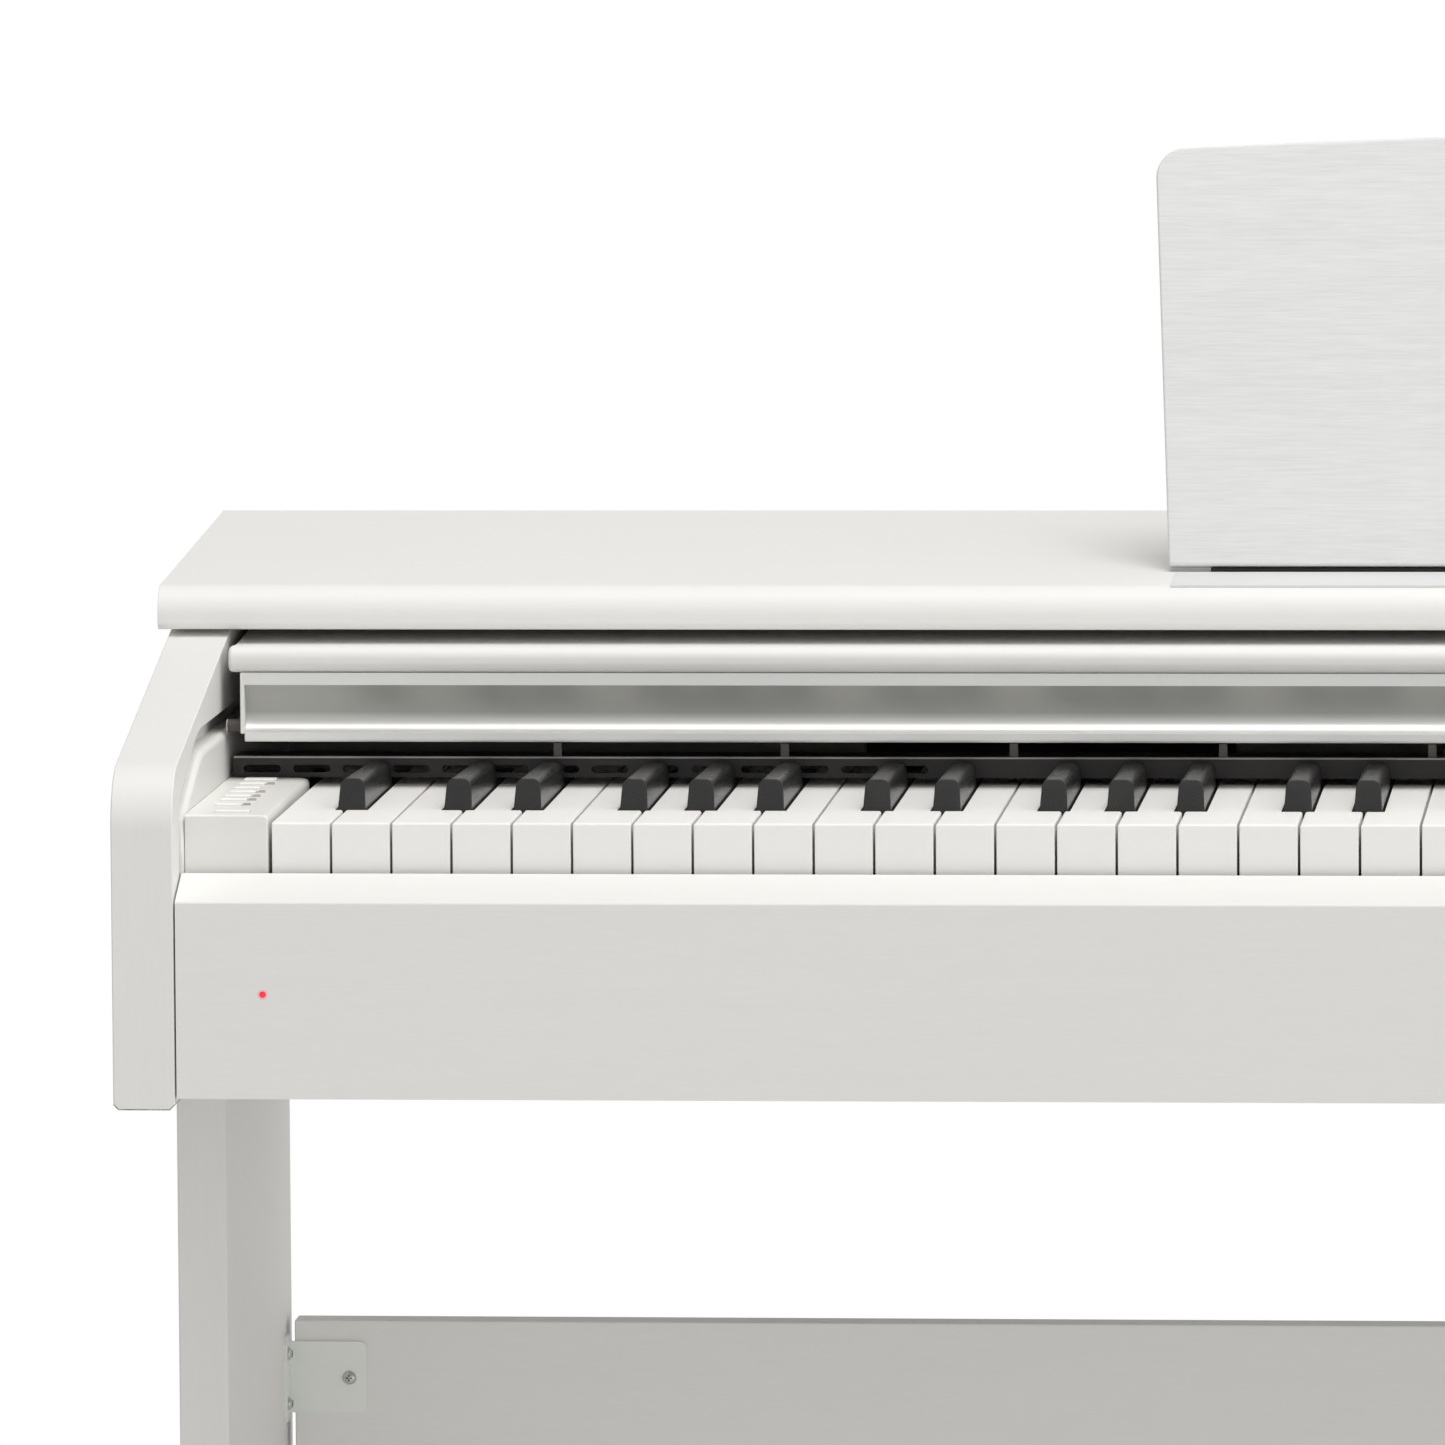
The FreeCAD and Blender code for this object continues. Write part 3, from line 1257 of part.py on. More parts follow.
PLATE_Y = "bed_back + rear_board_thick"
jack_plate = board("jack_plate", ("plate_x - plate_half", "plate_x + plate_half"),
                   (PLATE_Y, PLATE_Y + " + plate_wall"), ("plate_low", "plate_high"))
soften(jack_plate, "Fillet", "plate_corner", lambda mid, run: along_y(run))
JACKS = ["plate_x - jack_first + %d * jack_pitch" % number for number in range(3)]
PLATE_HEIGHT = "(plate_low + plate_high) / 2"
barrels = [
    rod("jack_barrel_%d" % number, (x, PLATE_Y, PLATE_HEIGHT), "jack_length - plate_wall", "jack_barrel",
        (0, -1, 0))
    for number, x in enumerate(JACKS)
]
inlet_shell = block("inlet_shell", ("plate_x + 42", "plate_x + 62"), (PLATE_Y + " - 10", PLATE_Y),
                    (PLATE_HEIGHT + " - 8", PLATE_HEIGHT + " + 8"))
bores = [
    rod("jack_bore_%d" % number, (x, PLATE_Y + " + plate_wall + 1", PLATE_HEIGHT), "jack_length + 2",
        "jack_bore", (0, -1, 0))
    for number, x in enumerate(JACKS)
]
inlet = block("inlet_mouth", ("plate_x + 45", "plate_x + 59"),
              (PLATE_Y + " - 8", PLATE_Y + " + plate_wall + 1"), (PLATE_HEIGHT + " - 5", PLATE_HEIGHT + " + 5"))
plate_blank = fuse("plate_blank", [jack_plate] + barrels + [inlet_shell])
node(cut("rear_jack_plate", plate_blank, bores + [inlet]), "rear_jack_plate")

# ---------------------------------------------------------------- checks and files

doc.recompute()

for item in doc.Objects:
    if "Invalid" in item.State or "Error" in item.State:
        raise RuntimeError("%s could not be made: %s" % (item.Label, item.State))

os.makedirs("parts", exist_ok=True)
for item in nodes:
    if item.Shape.isNull() or not item.Shape.isValid():
        raise RuntimeError("%s has no valid shape" % item.Label)
for item in nodes:
    item.Shape.exportStep("parts/%s.step" % item.Label)
print("%d nodes" % len(nodes))
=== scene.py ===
import json
import math

import bmesh
import bpy
from mathutils import Matrix, Vector


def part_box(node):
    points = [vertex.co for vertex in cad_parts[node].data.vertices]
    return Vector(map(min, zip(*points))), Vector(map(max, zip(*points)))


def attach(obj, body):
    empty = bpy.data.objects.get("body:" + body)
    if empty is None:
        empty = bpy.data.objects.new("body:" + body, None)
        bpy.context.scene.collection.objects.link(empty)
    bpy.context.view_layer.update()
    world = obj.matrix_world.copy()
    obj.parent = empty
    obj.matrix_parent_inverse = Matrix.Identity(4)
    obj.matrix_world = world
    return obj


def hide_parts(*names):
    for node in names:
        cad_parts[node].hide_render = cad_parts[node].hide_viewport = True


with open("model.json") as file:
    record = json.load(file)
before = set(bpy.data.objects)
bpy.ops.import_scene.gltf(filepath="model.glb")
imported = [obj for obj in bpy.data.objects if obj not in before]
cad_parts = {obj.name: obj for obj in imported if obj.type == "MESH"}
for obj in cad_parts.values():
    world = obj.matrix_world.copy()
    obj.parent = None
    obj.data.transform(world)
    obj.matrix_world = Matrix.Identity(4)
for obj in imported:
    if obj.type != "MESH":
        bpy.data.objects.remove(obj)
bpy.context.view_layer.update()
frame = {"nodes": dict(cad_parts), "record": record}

MM = 0.001
MERGE_DISTANCE = 0.002 * MM
node_slots = {row["node"]: row["material_slot"] for row in frame["record"]["subparts"]}

# ---------------------------------------------------------------- camera, lights and floor

CAMERA_PLACE = Vector((-0.0026, -5.3884, 1.2718))
CAMERA_YAW, CAMERA_PITCH, CAMERA_ROLL = 0.0830, -0.0949, -0.0065
CAMERA_LENS = 336.8
SENSOR = 36.0


def make_camera():
    data = bpy.data.cameras.new("camera")
    data.sensor_width = SENSOR
    data.lens = CAMERA_LENS
    data.clip_end = 60.0
    camera = bpy.data.objects.new("camera", data)
    turn = Matrix.Rotation(CAMERA_YAW, 4, "Z") @ Matrix.Rotation(math.pi / 2 + CAMERA_PITCH, 4, "X")
    camera.matrix_world = Matrix.Translation(CAMERA_PLACE) @ turn @ Matrix.Rotation(CAMERA_ROLL, 4, "Z")
    bpy.context.scene.collection.objects.link(camera)
    bpy.context.scene.camera = camera


SOFTBOX_AIM = Vector((0.0, 0.0, 0.75))
SOFTBOX_DISTANCE = 3.4
SOFTBOX_SIZE = 2.0
SOFTBOX_TINT = (1.0, 0.985, 0.965)


def make_softbox(name, elevation, azimuth, strength):
    """A square light aimed at the piano; strength is what it adds to a white card that faces it."""
    back = Vector((math.sin(azimuth) * math.cos(elevation), -math.cos(azimuth) * math.cos(elevation),
                   math.sin(elevation)))
    data = bpy.data.lights.new(name, "AREA")
    data.size = SOFTBOX_SIZE
    data.energy = strength * math.pi ** 2 * SOFTBOX_DISTANCE ** 2
    data.color = SOFTBOX_TINT
    light = bpy.data.objects.new(name, data)
    light.location = SOFTBOX_AIM + back * SOFTBOX_DISTANCE
    light.rotation_euler = back.to_track_quat("Z", "Y").to_euler()
    light.visible_camera = False
    bpy.context.scene.collection.objects.link(light)


# Name, elevation and azimuth in degrees, strength.
SOFTBOXES = [("top_light", 79, 0, 0.66), ("key_light", 58, 12, 0.10)]
# The glow's strength towards the minus and the plus side of each axis.
AMBIENT = {"X": (0.32, 1.22), "Y": (0.72, 0.44), "Z": (0.08, 0.12)}


def make_world():
    """White to the camera; otherwise a soft glow with its own strength towards each side."""
    world = bpy.data.worlds.new("studio")
    bpy.context.scene.world = world
    world.use_nodes = True
    nodes, links = world.node_tree.nodes, world.node_tree.links
    nodes.clear()
    place = nodes.new("ShaderNodeTexCoord")
    split = nodes.new("ShaderNodeSeparateXYZ")
    links.new(place.outputs["Generated"], split.inputs[0])

    def math_node(operation, first, second):
        node = nodes.new("ShaderNodeMath")
        node.operation = operation
        for socket, value in zip(node.inputs, (first, second)):
            if isinstance(value, float):
                socket.default_value = value
            else:
                links.new(value, socket)
        return node.outputs[0]

    total = 0.0
    for axis, (minus, plus) in AMBIENT.items():
        part = split.outputs[axis]
        side = math_node("GREATER_THAN", part, 0.0)
        level = math_node("ADD", math_node("MULTIPLY", side, plus - minus), minus)
        total = math_node("ADD", math_node("MULTIPLY", math_node("MULTIPLY", part, part), level), total)
    sky = nodes.new("ShaderNodeBackground")
    seen = nodes.new("ShaderNodeBackground")
    path = nodes.new("ShaderNodeLightPath")
    mix = nodes.new("ShaderNodeMixShader")
    out = nodes.new("ShaderNodeOutputWorld")
    sky.inputs["Color"].default_value = (1.0, 0.997, 0.985, 1.0)
    seen.inputs["Color"].default_value = (1.0, 1.0, 1.0, 1.0)
    links.new(total, sky.inputs["Strength"])
    links.new(path.outputs["Is Camera Ray"], mix.inputs["Fac"])
    links.new(sky.outputs[0], mix.inputs[1])
    links.new(seen.outputs[0], mix.inputs[2])
    links.new(mix.outputs[0], out.inputs["Surface"])


FLOOR_RADIUS = 2.4
FLOOR_SEGMENTS = 96
GLOW_START, GLOW_END = 1.5, 2.3
FLOOR_GLOW = 0.6


def make_floor():
    rings = bmesh.new()
    bmesh.ops.create_circle(rings, cap_ends=True, segments=FLOOR_SEGMENTS, radius=FLOOR_RADIUS)
    mesh = bpy.data.meshes.new("floor")
    rings.to_mesh(mesh)
    rings.free()
    floor = bpy.data.objects.new("floor", mesh)
    bpy.context.scene.collection.objects.link(floor)
    floor.data.materials.append(floor_white())


# ---------------------------------------------------------------- materials


class Recipe:
    """A principled material with short calls for its nodes."""

    def __init__(self, name, color, rough, metallic=0.0):
        self.material = bpy.data.materials.new(name)
        self.material.use_nodes = True
        self.nodes = self.material.node_tree.nodes
        self.links = self.material.node_tree.links
        self.shader = self.nodes["Principled BSDF"]
        self.shader.inputs["Base Color"].default_value = (*color, 1.0)
        self.shader.inputs["Roughness"].default_value = rough
        self.shader.inputs["Metallic"].default_value = metallic
        self.place = self.nodes.new("ShaderNodeTexCoord").outputs["Object"]

    def stretched(self, scale):
        mapping = self.nodes.new("ShaderNodeMapping")
        mapping.inputs["Scale"].default_value = scale
        self.links.new(self.place, mapping.inputs["Vector"])
        return mapping.outputs["Vector"]

    def noise(self, scale, detail=3.0, rough=0.5, distortion=0.0):
        """Noise from a scale in cycles per metre for X, Y and Z."""
        noise = self.nodes.new("ShaderNodeTexNoise")
        noise.inputs["Scale"].default_value = 1.0
        noise.inputs["Detail"].default_value = detail
        noise.inputs["Roughness"].default_value = rough
        noise.inputs["Distortion"].default_value = distortion
        self.links.new(self.stretched(scale), noise.inputs["Vector"])
        return noise.outputs["Fac"]

    def ramp(self, value, low, high, out_low=0.0, out_high=1.0):
        spread = self.nodes.new("ShaderNodeMapRange")
        limits = {"From Min": low, "From Max": high, "To Min": out_low, "To Max": out_high}
        for name, number in limits.items():
            spread.inputs[name].default_value = number
        self.links.new(value, spread.inputs["Value"])
        return spread.outputs["Result"]

    def mix_color(self, factor, color_a, color_b):
        mix = self.nodes.new("ShaderNodeMix")
        mix.data_type = "RGBA"
        mix.inputs["A"].default_value = (*color_a, 1.0)
        mix.inputs["B"].default_value = (*color_b, 1.0)
        self.links.new(factor, mix.inputs["Factor"])
        return mix.outputs["Result"]

    def mix_between(self, factor, color_a, output_b):
        """Like mix_color, but the second colour comes from another node."""
        mixed = self.mix_color(factor, color_a, color_a)
        self.links.new(output_b, mixed.node.inputs["B"])
        return mixed

    def times(self, first, second):
        product = self.nodes.new("ShaderNodeMath")
        product.operation = "MULTIPLY"
        self.links.new(first, product.inputs[0])
        self.links.new(second, product.inputs[1])
        return product.outputs[0]

    def add(self, first, second, weight):
        scaled = self.nodes.new("ShaderNodeMath")
        scaled.operation = "MULTIPLY_ADD"
        scaled.inputs[1].default_value = weight
        self.links.new(second, scaled.inputs[0])
        self.links.new(first, scaled.inputs[2])
        return scaled.outputs[0]

    def color_from(self, output):
        self.links.new(output, self.shader.inputs["Base Color"])

    def rough_from(self, output):
        self.links.new(output, self.shader.inputs["Roughness"])

    def bump(self, height, distance, strength=1.0):
        bump = self.nodes.new("ShaderNodeBump")
        bump.inputs["Strength"].default_value = strength
        bump.inputs["Distance"].default_value = distance
        self.links.new(height, bump.inputs["Height"])
        self.links.new(bump.outputs["Normal"], self.shader.inputs["Normal"])


def shade(color, factor):
    return tuple(channel * factor for channel in color)


def floor_white():
    """A slightly mottled white that turns into a plain glow towards the floor's rim."""
    color = (0.86, 0.86, 0.855)
    recipe = Recipe("floor_white", color, 0.6)
    recipe.color_from(recipe.mix_color(recipe.noise((3, 3, 3)), shade(color, 0.985), color))
    length = recipe.nodes.new("ShaderNodeVectorMath")
    length.operation = "LENGTH"
    recipe.links.new(recipe.place, length.inputs[0])
    fade = recipe.ramp(length.outputs["Value"], GLOW_START, GLOW_END, 0.0, FLOOR_GLOW)
    recipe.shader.inputs["Emission Color"].default_value = (1.0, 1.0, 1.0, 1.0)
    recipe.links.new(fade, recipe.shader.inputs["Emission Strength"])
    return recipe.material


LAMINATE_WHITE = (0.845, 0.838, 0.820)
# Cycles per metre of the fine pores and of the wide bands, along and across the grain.
GRAIN_ALONG, GRAIN_ACROSS = 55.0, 1150.0
BAND_ALONG, BAND_ACROSS = 7.0, 140.0


def laminate(axis, color=LAMINATE_WHITE, name="laminate", contrast=1.0):
    """White foil with a fine pressed wood grain along one axis; contrast scales the grain's colour."""
    recipe = Recipe("%s_grain_%s" % (name, "xyz"[axis]), color, 0.45)
    recipe.shader.inputs["Specular IOR Level"].default_value = 0.3
    scale = [GRAIN_ACROSS] * 3
    scale[axis] = GRAIN_ALONG
    pores = recipe.noise(scale, detail=2.0, rough=0.6)
    wide = [BAND_ACROSS] * 3
    wide[axis] = BAND_ALONG
    bands = recipe.noise(wide, detail=4.0, rough=0.65, distortion=0.3)
    mixed = recipe.add(pores, bands, 0.55)
    factor = recipe.ramp(mixed, 0.55, 1.0)
    dark, light = shade(color, 1 - 0.015 * contrast), shade(color, 1 + 0.01 * contrast)
    recipe.color_from(recipe.mix_color(factor, dark, light))
    recipe.rough_from(recipe.ramp(pores, 0.3, 0.7, 0.44, 0.54))
    recipe.bump(pores, 0.00004, 0.35)
    return recipe.material


def fine_plastic(name, color, rough, grain=2600.0, depth=0.00002):
    """Moulded plastic with a fine spark-eroded texture."""
    recipe = Recipe(name, color, rough)
    texture = recipe.noise((grain, grain, grain), detail=1.0)
    soft = recipe.noise((30, 30, 30), detail=2.0)
    recipe.color_from(recipe.mix_color(soft, shade(color, 0.97), shade(color, 1.02)))
    recipe.rough_from(recipe.ramp(texture, 0.3, 0.7, rough * 0.92, rough * 1.08))
    recipe.bump(texture, depth, 0.4)
    return recipe.material


def ivory_white():
    color = (0.955, 0.945, 0.925)
    recipe = Recipe("key_white", color, 0.42)
    soft = recipe.noise((18, 18, 18), detail=2.0)
    recipe.color_from(recipe.mix_color(soft, shade(color, 0.99), shade(color, 1.01)))
    recipe.rough_from(recipe.ramp(recipe.noise((420, 90, 420)), 0.3, 0.7, 0.38, 0.46))
    recipe.shader.inputs["Specular IOR Level"].default_value = 0.12
    return recipe.material


def sharp_black():
    color = (0.024, 0.024, 0.024)
    recipe = Recipe("key_black", color, 0.3)
    grain = recipe.noise((1500, 260, 1500), detail=2.0)
    recipe.color_from(recipe.mix_color(recipe.noise((40, 25, 40)), shade(color, 0.85), shade(color, 1.25)))
    recipe.rough_from(recipe.ramp(grain, 0.3, 0.7, 0.27, 0.30))
    recipe.bump(grain, 0.000002, 0.1)
    recipe.shader.inputs["Specular IOR Level"].default_value = 0.4
    return recipe.material


def brushed_metal(name, color, rough, axis, depth=0.00002):
    """Metal with fine lines along one axis."""
    recipe = Recipe(name, color, rough, metallic=1.0)
    scale = [3400.0] * 3
    scale[axis] = 12.0
    lines = recipe.noise(scale, detail=2.0, rough=0.7)
    recipe.color_from(recipe.mix_color(lines, shade(color, 0.93), shade(color, 1.04)))
    recipe.rough_from(recipe.ramp(lines, 0.3, 0.7, rough * 0.85, rough * 1.15))
    recipe.bump(lines, depth, 0.35)
    return recipe.material


def satin_trim():
    """Anodised channel: a mirror-like hollow, with a painted highlight low down and a painted dark reflection
    above it, between two flat faces of a chalkier silver.
    """
    # The hollow's two colours are painted light: a light painted highlight on its lower curve and a dark
    # painted reflection of the keys above it.
    face, cove_highlight_paint, cove_reflection_paint = (0.82, 0.825, 0.815), (0.88, 0.88, 0.87), (0.43, 0.435, 0.42)
    recipe = Recipe("satin_trim", face, 0.4)
    split = recipe.nodes.new("ShaderNodeSeparateXYZ")
    recipe.links.new(recipe.place, split.inputs[0])
    below = recipe.ramp(split.outputs["Z"], COVE_TOP - 0.1 * MM, COVE_TOP + 0.1 * MM, 1.0, 0.0)
    above = recipe.ramp(split.outputs["Z"], COVE_BOTTOM - 0.1 * MM, COVE_BOTTOM + 0.1 * MM, 0.0, 1.0)
    inside = recipe.times(below, above)
    lines = recipe.noise((8.0, 3000.0, 3000.0), detail=2.0, rough=0.6)
    # Fades the painted highlight into the painted reflection, from the hollow's lower curve upward.
    highlight_fade = recipe.ramp(split.outputs["Z"], COVE_BOTTOM + 2.5 * MM, COVE_BOTTOM + 8.0 * MM)
    recipe.color_from(recipe.mix_between(inside, face, recipe.mix_color(highlight_fade, cove_highlight_paint, cove_reflection_paint)))
    recipe.links.new(recipe.ramp(inside, 0.0, 1.0, 0.25, 0.95), recipe.shader.inputs["Metallic"])
    recipe.rough_from(recipe.add(recipe.ramp(inside, 0.0, 1.0, 0.50, 0.44), lines, 0.06))
    recipe.bump(lines, 0.000004, 0.3)
    return recipe.material


def painted_steel(name, color, rough):
    recipe = Recipe(name, color, rough)
    peel = recipe.noise((900, 900, 900), detail=2.0)
    recipe.color_from(recipe.mix_color(recipe.noise((25, 25, 25)), shade(color, 0.96), shade(color, 1.03)))
    recipe.rough_from(recipe.ramp(peel, 0.3, 0.7, rough * 0.9, rough * 1.1))
    recipe.bump(peel, 0.00003, 0.4)
    return recipe.material


def pressed_felt():
    color = (0.42, 0.03, 0.035)
    recipe = Recipe("felt", color, 0.95)
    fibres = recipe.noise((2200, 2200, 900), detail=4.0, rough=0.8)
    recipe.color_from(recipe.mix_color(fibres, shade(color, 0.6), shade(color, 1.3)))
    recipe.bump(fibres, 0.0004, 0.8)
    recipe.shader.inputs["Sheen Weight"].default_value = 0.4
    return recipe.material


def circuit_green():
    color = (0.03, 0.14, 0.06)
    recipe = Recipe("circuit", color, 0.4)
    tracks = recipe.nodes.new("ShaderNodeTexVoronoi")
    tracks.distance = "MANHATTAN"
    tracks.inputs["Scale"].default_value = 140.0
    recipe.links.new(recipe.place, tracks.inputs["Vector"])
    factor = recipe.ramp(tracks.outputs["Distance"], 0.25, 0.45)
    recipe.color_from(recipe.mix_color(factor, (0.07, 0.24, 0.10), color))
    recipe.bump(factor, 0.00005, 0.5)
    return recipe.material


def chipboard():
    """Raw chipboard: flakes of grey and brown."""
    color = (0.42, 0.40, 0.39)
    recipe = Recipe("chipboard", color, 0.9)
    flakes = recipe.nodes.new("ShaderNodeTexVoronoi")
    flakes.inputs["Scale"].default_value = 900.0
    recipe.links.new(recipe.place, flakes.inputs["Vector"])
    recipe.color_from(recipe.mix_color(recipe.ramp(flakes.outputs["Distance"], 0.1, 0.7), shade(color, 1.5),
                                       shade(color, 0.55)))
    recipe.bump(flakes.outputs["Distance"], 0.0003, 0.8)
    return recipe.material


def woven_cloth():
    """Black speaker cloth with a fine square weave."""
    color = (0.02, 0.02, 0.02)
    recipe = Recipe("speaker_cloth", color, 0.95)
    heights = []
    for direction in "XY":
        wave = recipe.nodes.new("ShaderNodeTexWave")
        wave.bands_direction = direction
        wave.inputs["Scale"].default_value = 180.0
        recipe.links.new(recipe.place, wave.inputs["Vector"])
        heights.append(wave.outputs["Fac"])
    weave = recipe.add(heights[0], heights[1], 1.0)
    recipe.color_from(recipe.mix_color(recipe.ramp(weave, 0.4, 1.8), shade(color, 0.5), shade(color, 2.4)))
    recipe.bump(weave, 0.0002, 0.8)
    return recipe.material


def lamp_lens(name, color, glow):
    recipe = Recipe(name, color, 0.15)
    spots = recipe.noise((600, 600, 600))
    recipe.color_from(recipe.mix_color(spots, shade(color, 0.85), color))
    recipe.shader.inputs["Emission Color"].default_value = (*color, 1.0)
    recipe.shader.inputs["Emission Strength"].default_value = glow
    return recipe.material


COVE_BOTTOM, COVE_TOP = 757.2 * MM, 776.3 * MM
MATERIALS = {
    "laminate": laminate(0),
    "bare_board": fine_plastic("bare_board", (0.60, 0.59, 0.57), 0.8, grain=500.0, depth=0.0001),
    "white_plastic": fine_plastic("white_plastic", (0.84, 0.84, 0.81), 0.40),
    "key_white": ivory_white(),
    "key_black": sharp_black(),
    "silver_trim": satin_trim(),
    "black_rail": painted_steel("black_rail", (0.022, 0.020, 0.020), 0.42),
    "frame_plastic": fine_plastic("frame_plastic", (0.05, 0.05, 0.05), 0.5),
    "felt": pressed_felt(),
    "circuit": circuit_green(),
    "lamp": lamp_lens("lamp", (0.70, 0.02, 0.05), 0.7),
    "speaker_black": fine_plastic("speaker_black", (0.025, 0.025, 0.027), 0.6, grain=900.0, depth=0.0001),
    "jack_plastic": fine_plastic("jack_plastic", (0.03, 0.03, 0.033), 0.45),
    "zinc": brushed_metal("zinc", (0.62, 0.63, 0.62), 0.32, 2),
    "bracket_paint": painted_steel("bracket_paint", (0.86, 0.89, 0.85), 0.38),
    "pedal_brass": brushed_metal("pedal_brass", (0.82, 0.60, 0.26), 0.22, 1, 0.00001),
}
LAMINATE_ALONG_Y = laminate(1)
LAMINATE_ALONG_Z = laminate(2)
BUTTON_WHITE = fine_plastic("button_white", (0.95, 0.94, 0.92), 0.35)
STRIP_SILVER = painted_steel("strip_silver", (0.74, 0.75, 0.755), 0.38)
REST_LAMINATE = laminate(0, (0.775, 0.780, 0.785), "rest", 4.0)
# Painted light: a 2 % lighter copy of the white laminate stands for the brighter light on the lid and the
# cover's lip.
LID_PAINTED_LIGHT_LAMINATE = laminate(0, shade(LAMINATE_WHITE, 1.02), "lid")
UPRIGHT_GRAIN = ["leg_left", "leg_right", "side_arm_left", "side_arm_right"]
DEPTH_GRAIN = ["foot_left", "foot_right", "cheek_liners"]

# ---------------------------------------------------------------- carried CAD nodes

EDGE_SOFTNESS = {
    "laminate": 0.6 * MM,
    "white_plastic": 0.35 * MM,
    "key_white": 0.7 * MM,
    "key_black": 0.3 * MM,
    "silver_trim": 0.05 * MM,
    "black_rail": 0.2 * MM,
    "bracket_paint": 0.3 * MM,
    "pedal_brass": 0.5 * MM,
    "frame_plastic": 0.5 * MM,
    "jack_plastic": 0.4 * MM,
    "bare_board": 0.4 * MM,
}
NODE_SOFTNESS = {"fallboard_lip": 1.6 * MM, "pedal_box": 1.0 * MM}


def dress(name, node):
    """Gives a carried CAD node its material, and soft edges through modifiers."""
    slot = node_slots[name]
    material = MATERIALS[slot]
    if name in UPRIGHT_GRAIN:
        material = LAMINATE_ALONG_Z
    if name in DEPTH_GRAIN:
        material = LAMINATE_ALONG_Y
    if name == "rest_strip":
        material = STRIP_SILVER
    if name == "music_rest_panel":
        material = REST_LAMINATE
    # The lid and the cover's lip take the lighter laminate copy, which is painted light.
    if name in ("top_board", "fallboard_lip"):
        material = LID_PAINTED_LIGHT_LAMINATE
    if name.startswith("panel_button"):
        material = BUTTON_WHITE
    node.data.materials.clear()
    node.data.materials.append(material)
    round_edges(node, NODE_SOFTNESS.get(name, EDGE_SOFTNESS.get(slot, 0.0)))


def smooth_group():
    """Geometry nodes that drop the imported normals and shade every face smooth."""
    group = bpy.data.node_groups.new("smooth_shading", "GeometryNodeTree")
    group.interface.new_socket("Geometry", in_out="INPUT", socket_type="NodeSocketGeometry")
    group.interface.new_socket("Geometry", in_out="OUTPUT", socket_type="NodeSocketGeometry")
    first = group.nodes.new("NodeGroupInput")
    last = group.nodes.new("NodeGroupOutput")
    drop = group.nodes.new("GeometryNodeRemoveAttribute")
    drop.inputs["Name"].default_value = "custom_normal"
    faces = group.nodes.new("GeometryNodeSetShadeSmooth")
    edges = group.nodes.new("GeometryNodeSetShadeSmooth")
    edges.domain = "EDGE"
    chain = [first, drop, faces, edges, last]
    for one, other in zip(chain, chain[1:]):
        group.links.new(one.outputs[0], other.inputs[0])
    return group


SMOOTH = smooth_group()


def round_edges(node, width):
    """Joins split faces, softens the edges by a width and keeps flat faces flat in the light."""
    smooth = node.modifiers.new("smooth_shading", "NODES")
    smooth.node_group = SMOOTH
    weld = node.modifiers.new("weld", "WELD")
    weld.merge_threshold = MERGE_DISTANCE
    planar = node.modifiers.new("flat_faces", "DECIMATE")
    planar.decimate_type = "DISSOLVE"
    planar.angle_limit = math.radians(0.3)
    if width:
        bevel = node.modifiers.new("soft_edges", "BEVEL")
        bevel.width = width
        bevel.segments = 2
        bevel.limit_method = "ANGLE"
        bevel.angle_limit = math.radians(35)
    normals = node.modifiers.new("normals", "WEIGHTED_NORMAL")
    normals.weight = 100


for node_name, cad_node in frame["nodes"].items():
    dress(node_name, cad_node)

make_camera()
make_world()
make_floor()
for light_name, light_elevation, light_azimuth, light_strength in SOFTBOXES:
    make_softbox(light_name, math.radians(light_elevation), math.radians(light_azimuth), light_strength)

# ---------------------------------------------------------------- pieces made here


def turned_loop(made, radius, height, turns, matrix):
    """New vertices on a circle about the matrix's Z axis."""
    angles = (2 * math.pi * step / turns for step in range(turns))
    return [made.verts.new(matrix @ Vector((radius * math.cos(angle), radius * math.sin(angle), height)))
            for angle in angles]


def wheel(points, turns, matrix):
    """A lathed solid: (radius, height) points turned about the matrix's Z axis."""
    made = bmesh.new()
    rings = [turned_loop(made, radius, height, turns, matrix) for radius, height in points]
    for low, high in zip(rings, rings[1:]):
        for step in range(turns):
            after = (step + 1) % turns
            made.faces.new((low[step], low[after], high[after], high[step]))
    made.faces.new(rings[0][::-1])
    made.faces.new(rings[-1])
    bmesh.ops.recalc_face_normals(made, faces=made.faces)
    return made


def ring_band(inner, outer, low, high, turns, matrix):
    """A flat ring between two radii and two heights on the matrix's Z axis."""
    made = bmesh.new()
    corners = ((inner, low), (outer, low), (outer, high), (inner, high))
    loops = [turned_loop(made, radius, height, turns, matrix) for radius, height in corners]
    for one, other in zip(loops, loops[1:] + loops[:1]):
        for step in range(turns):
            after = (step + 1) % turns
            made.faces.new((one[step], one[after], other[after], other[step]))
    bmesh.ops.recalc_face_normals(made, faces=made.faces)
    return made


def prism(points, axis, low, high):
    """A solid with a flat outline in the two other axes, in their X, Y, Z order, drawn out along one axis."""
    made = bmesh.new()
    ends = []
    for place in (low, high):
        loop = []
        for first, second in points:
            corner = [first, second]
            corner.insert(axis, place)
            loop.append(made.verts.new(corner))
        ends.append(loop)
    count = len(points)
    for step in range(count):
        after = (step + 1) % count
        made.faces.new((ends[0][step], ends[0][after], ends[1][after], ends[1][step]))
    made.faces.new(ends[0][::-1])
    made.faces.new(ends[1])
    bmesh.ops.recalc_face_normals(made, faces=made.faces)
    return made


def slab(low, high):
    """A rectangular solid between two corners."""
    outline = [(low[0], low[1]), (high[0], low[1]), (high[0], high[1]), (low[0], high[1])]
    return prism(outline, 2, low[2], high[2])


def joined(parts):
    """One mesh from several, each freed afterwards."""
    whole = bmesh.new()
    for part in parts:
        copy = bpy.data.meshes.new("part")
        part.to_mesh(copy)
        part.free()
        whole.from_mesh(copy)
        bpy.data.meshes.remove(copy)
    return whole


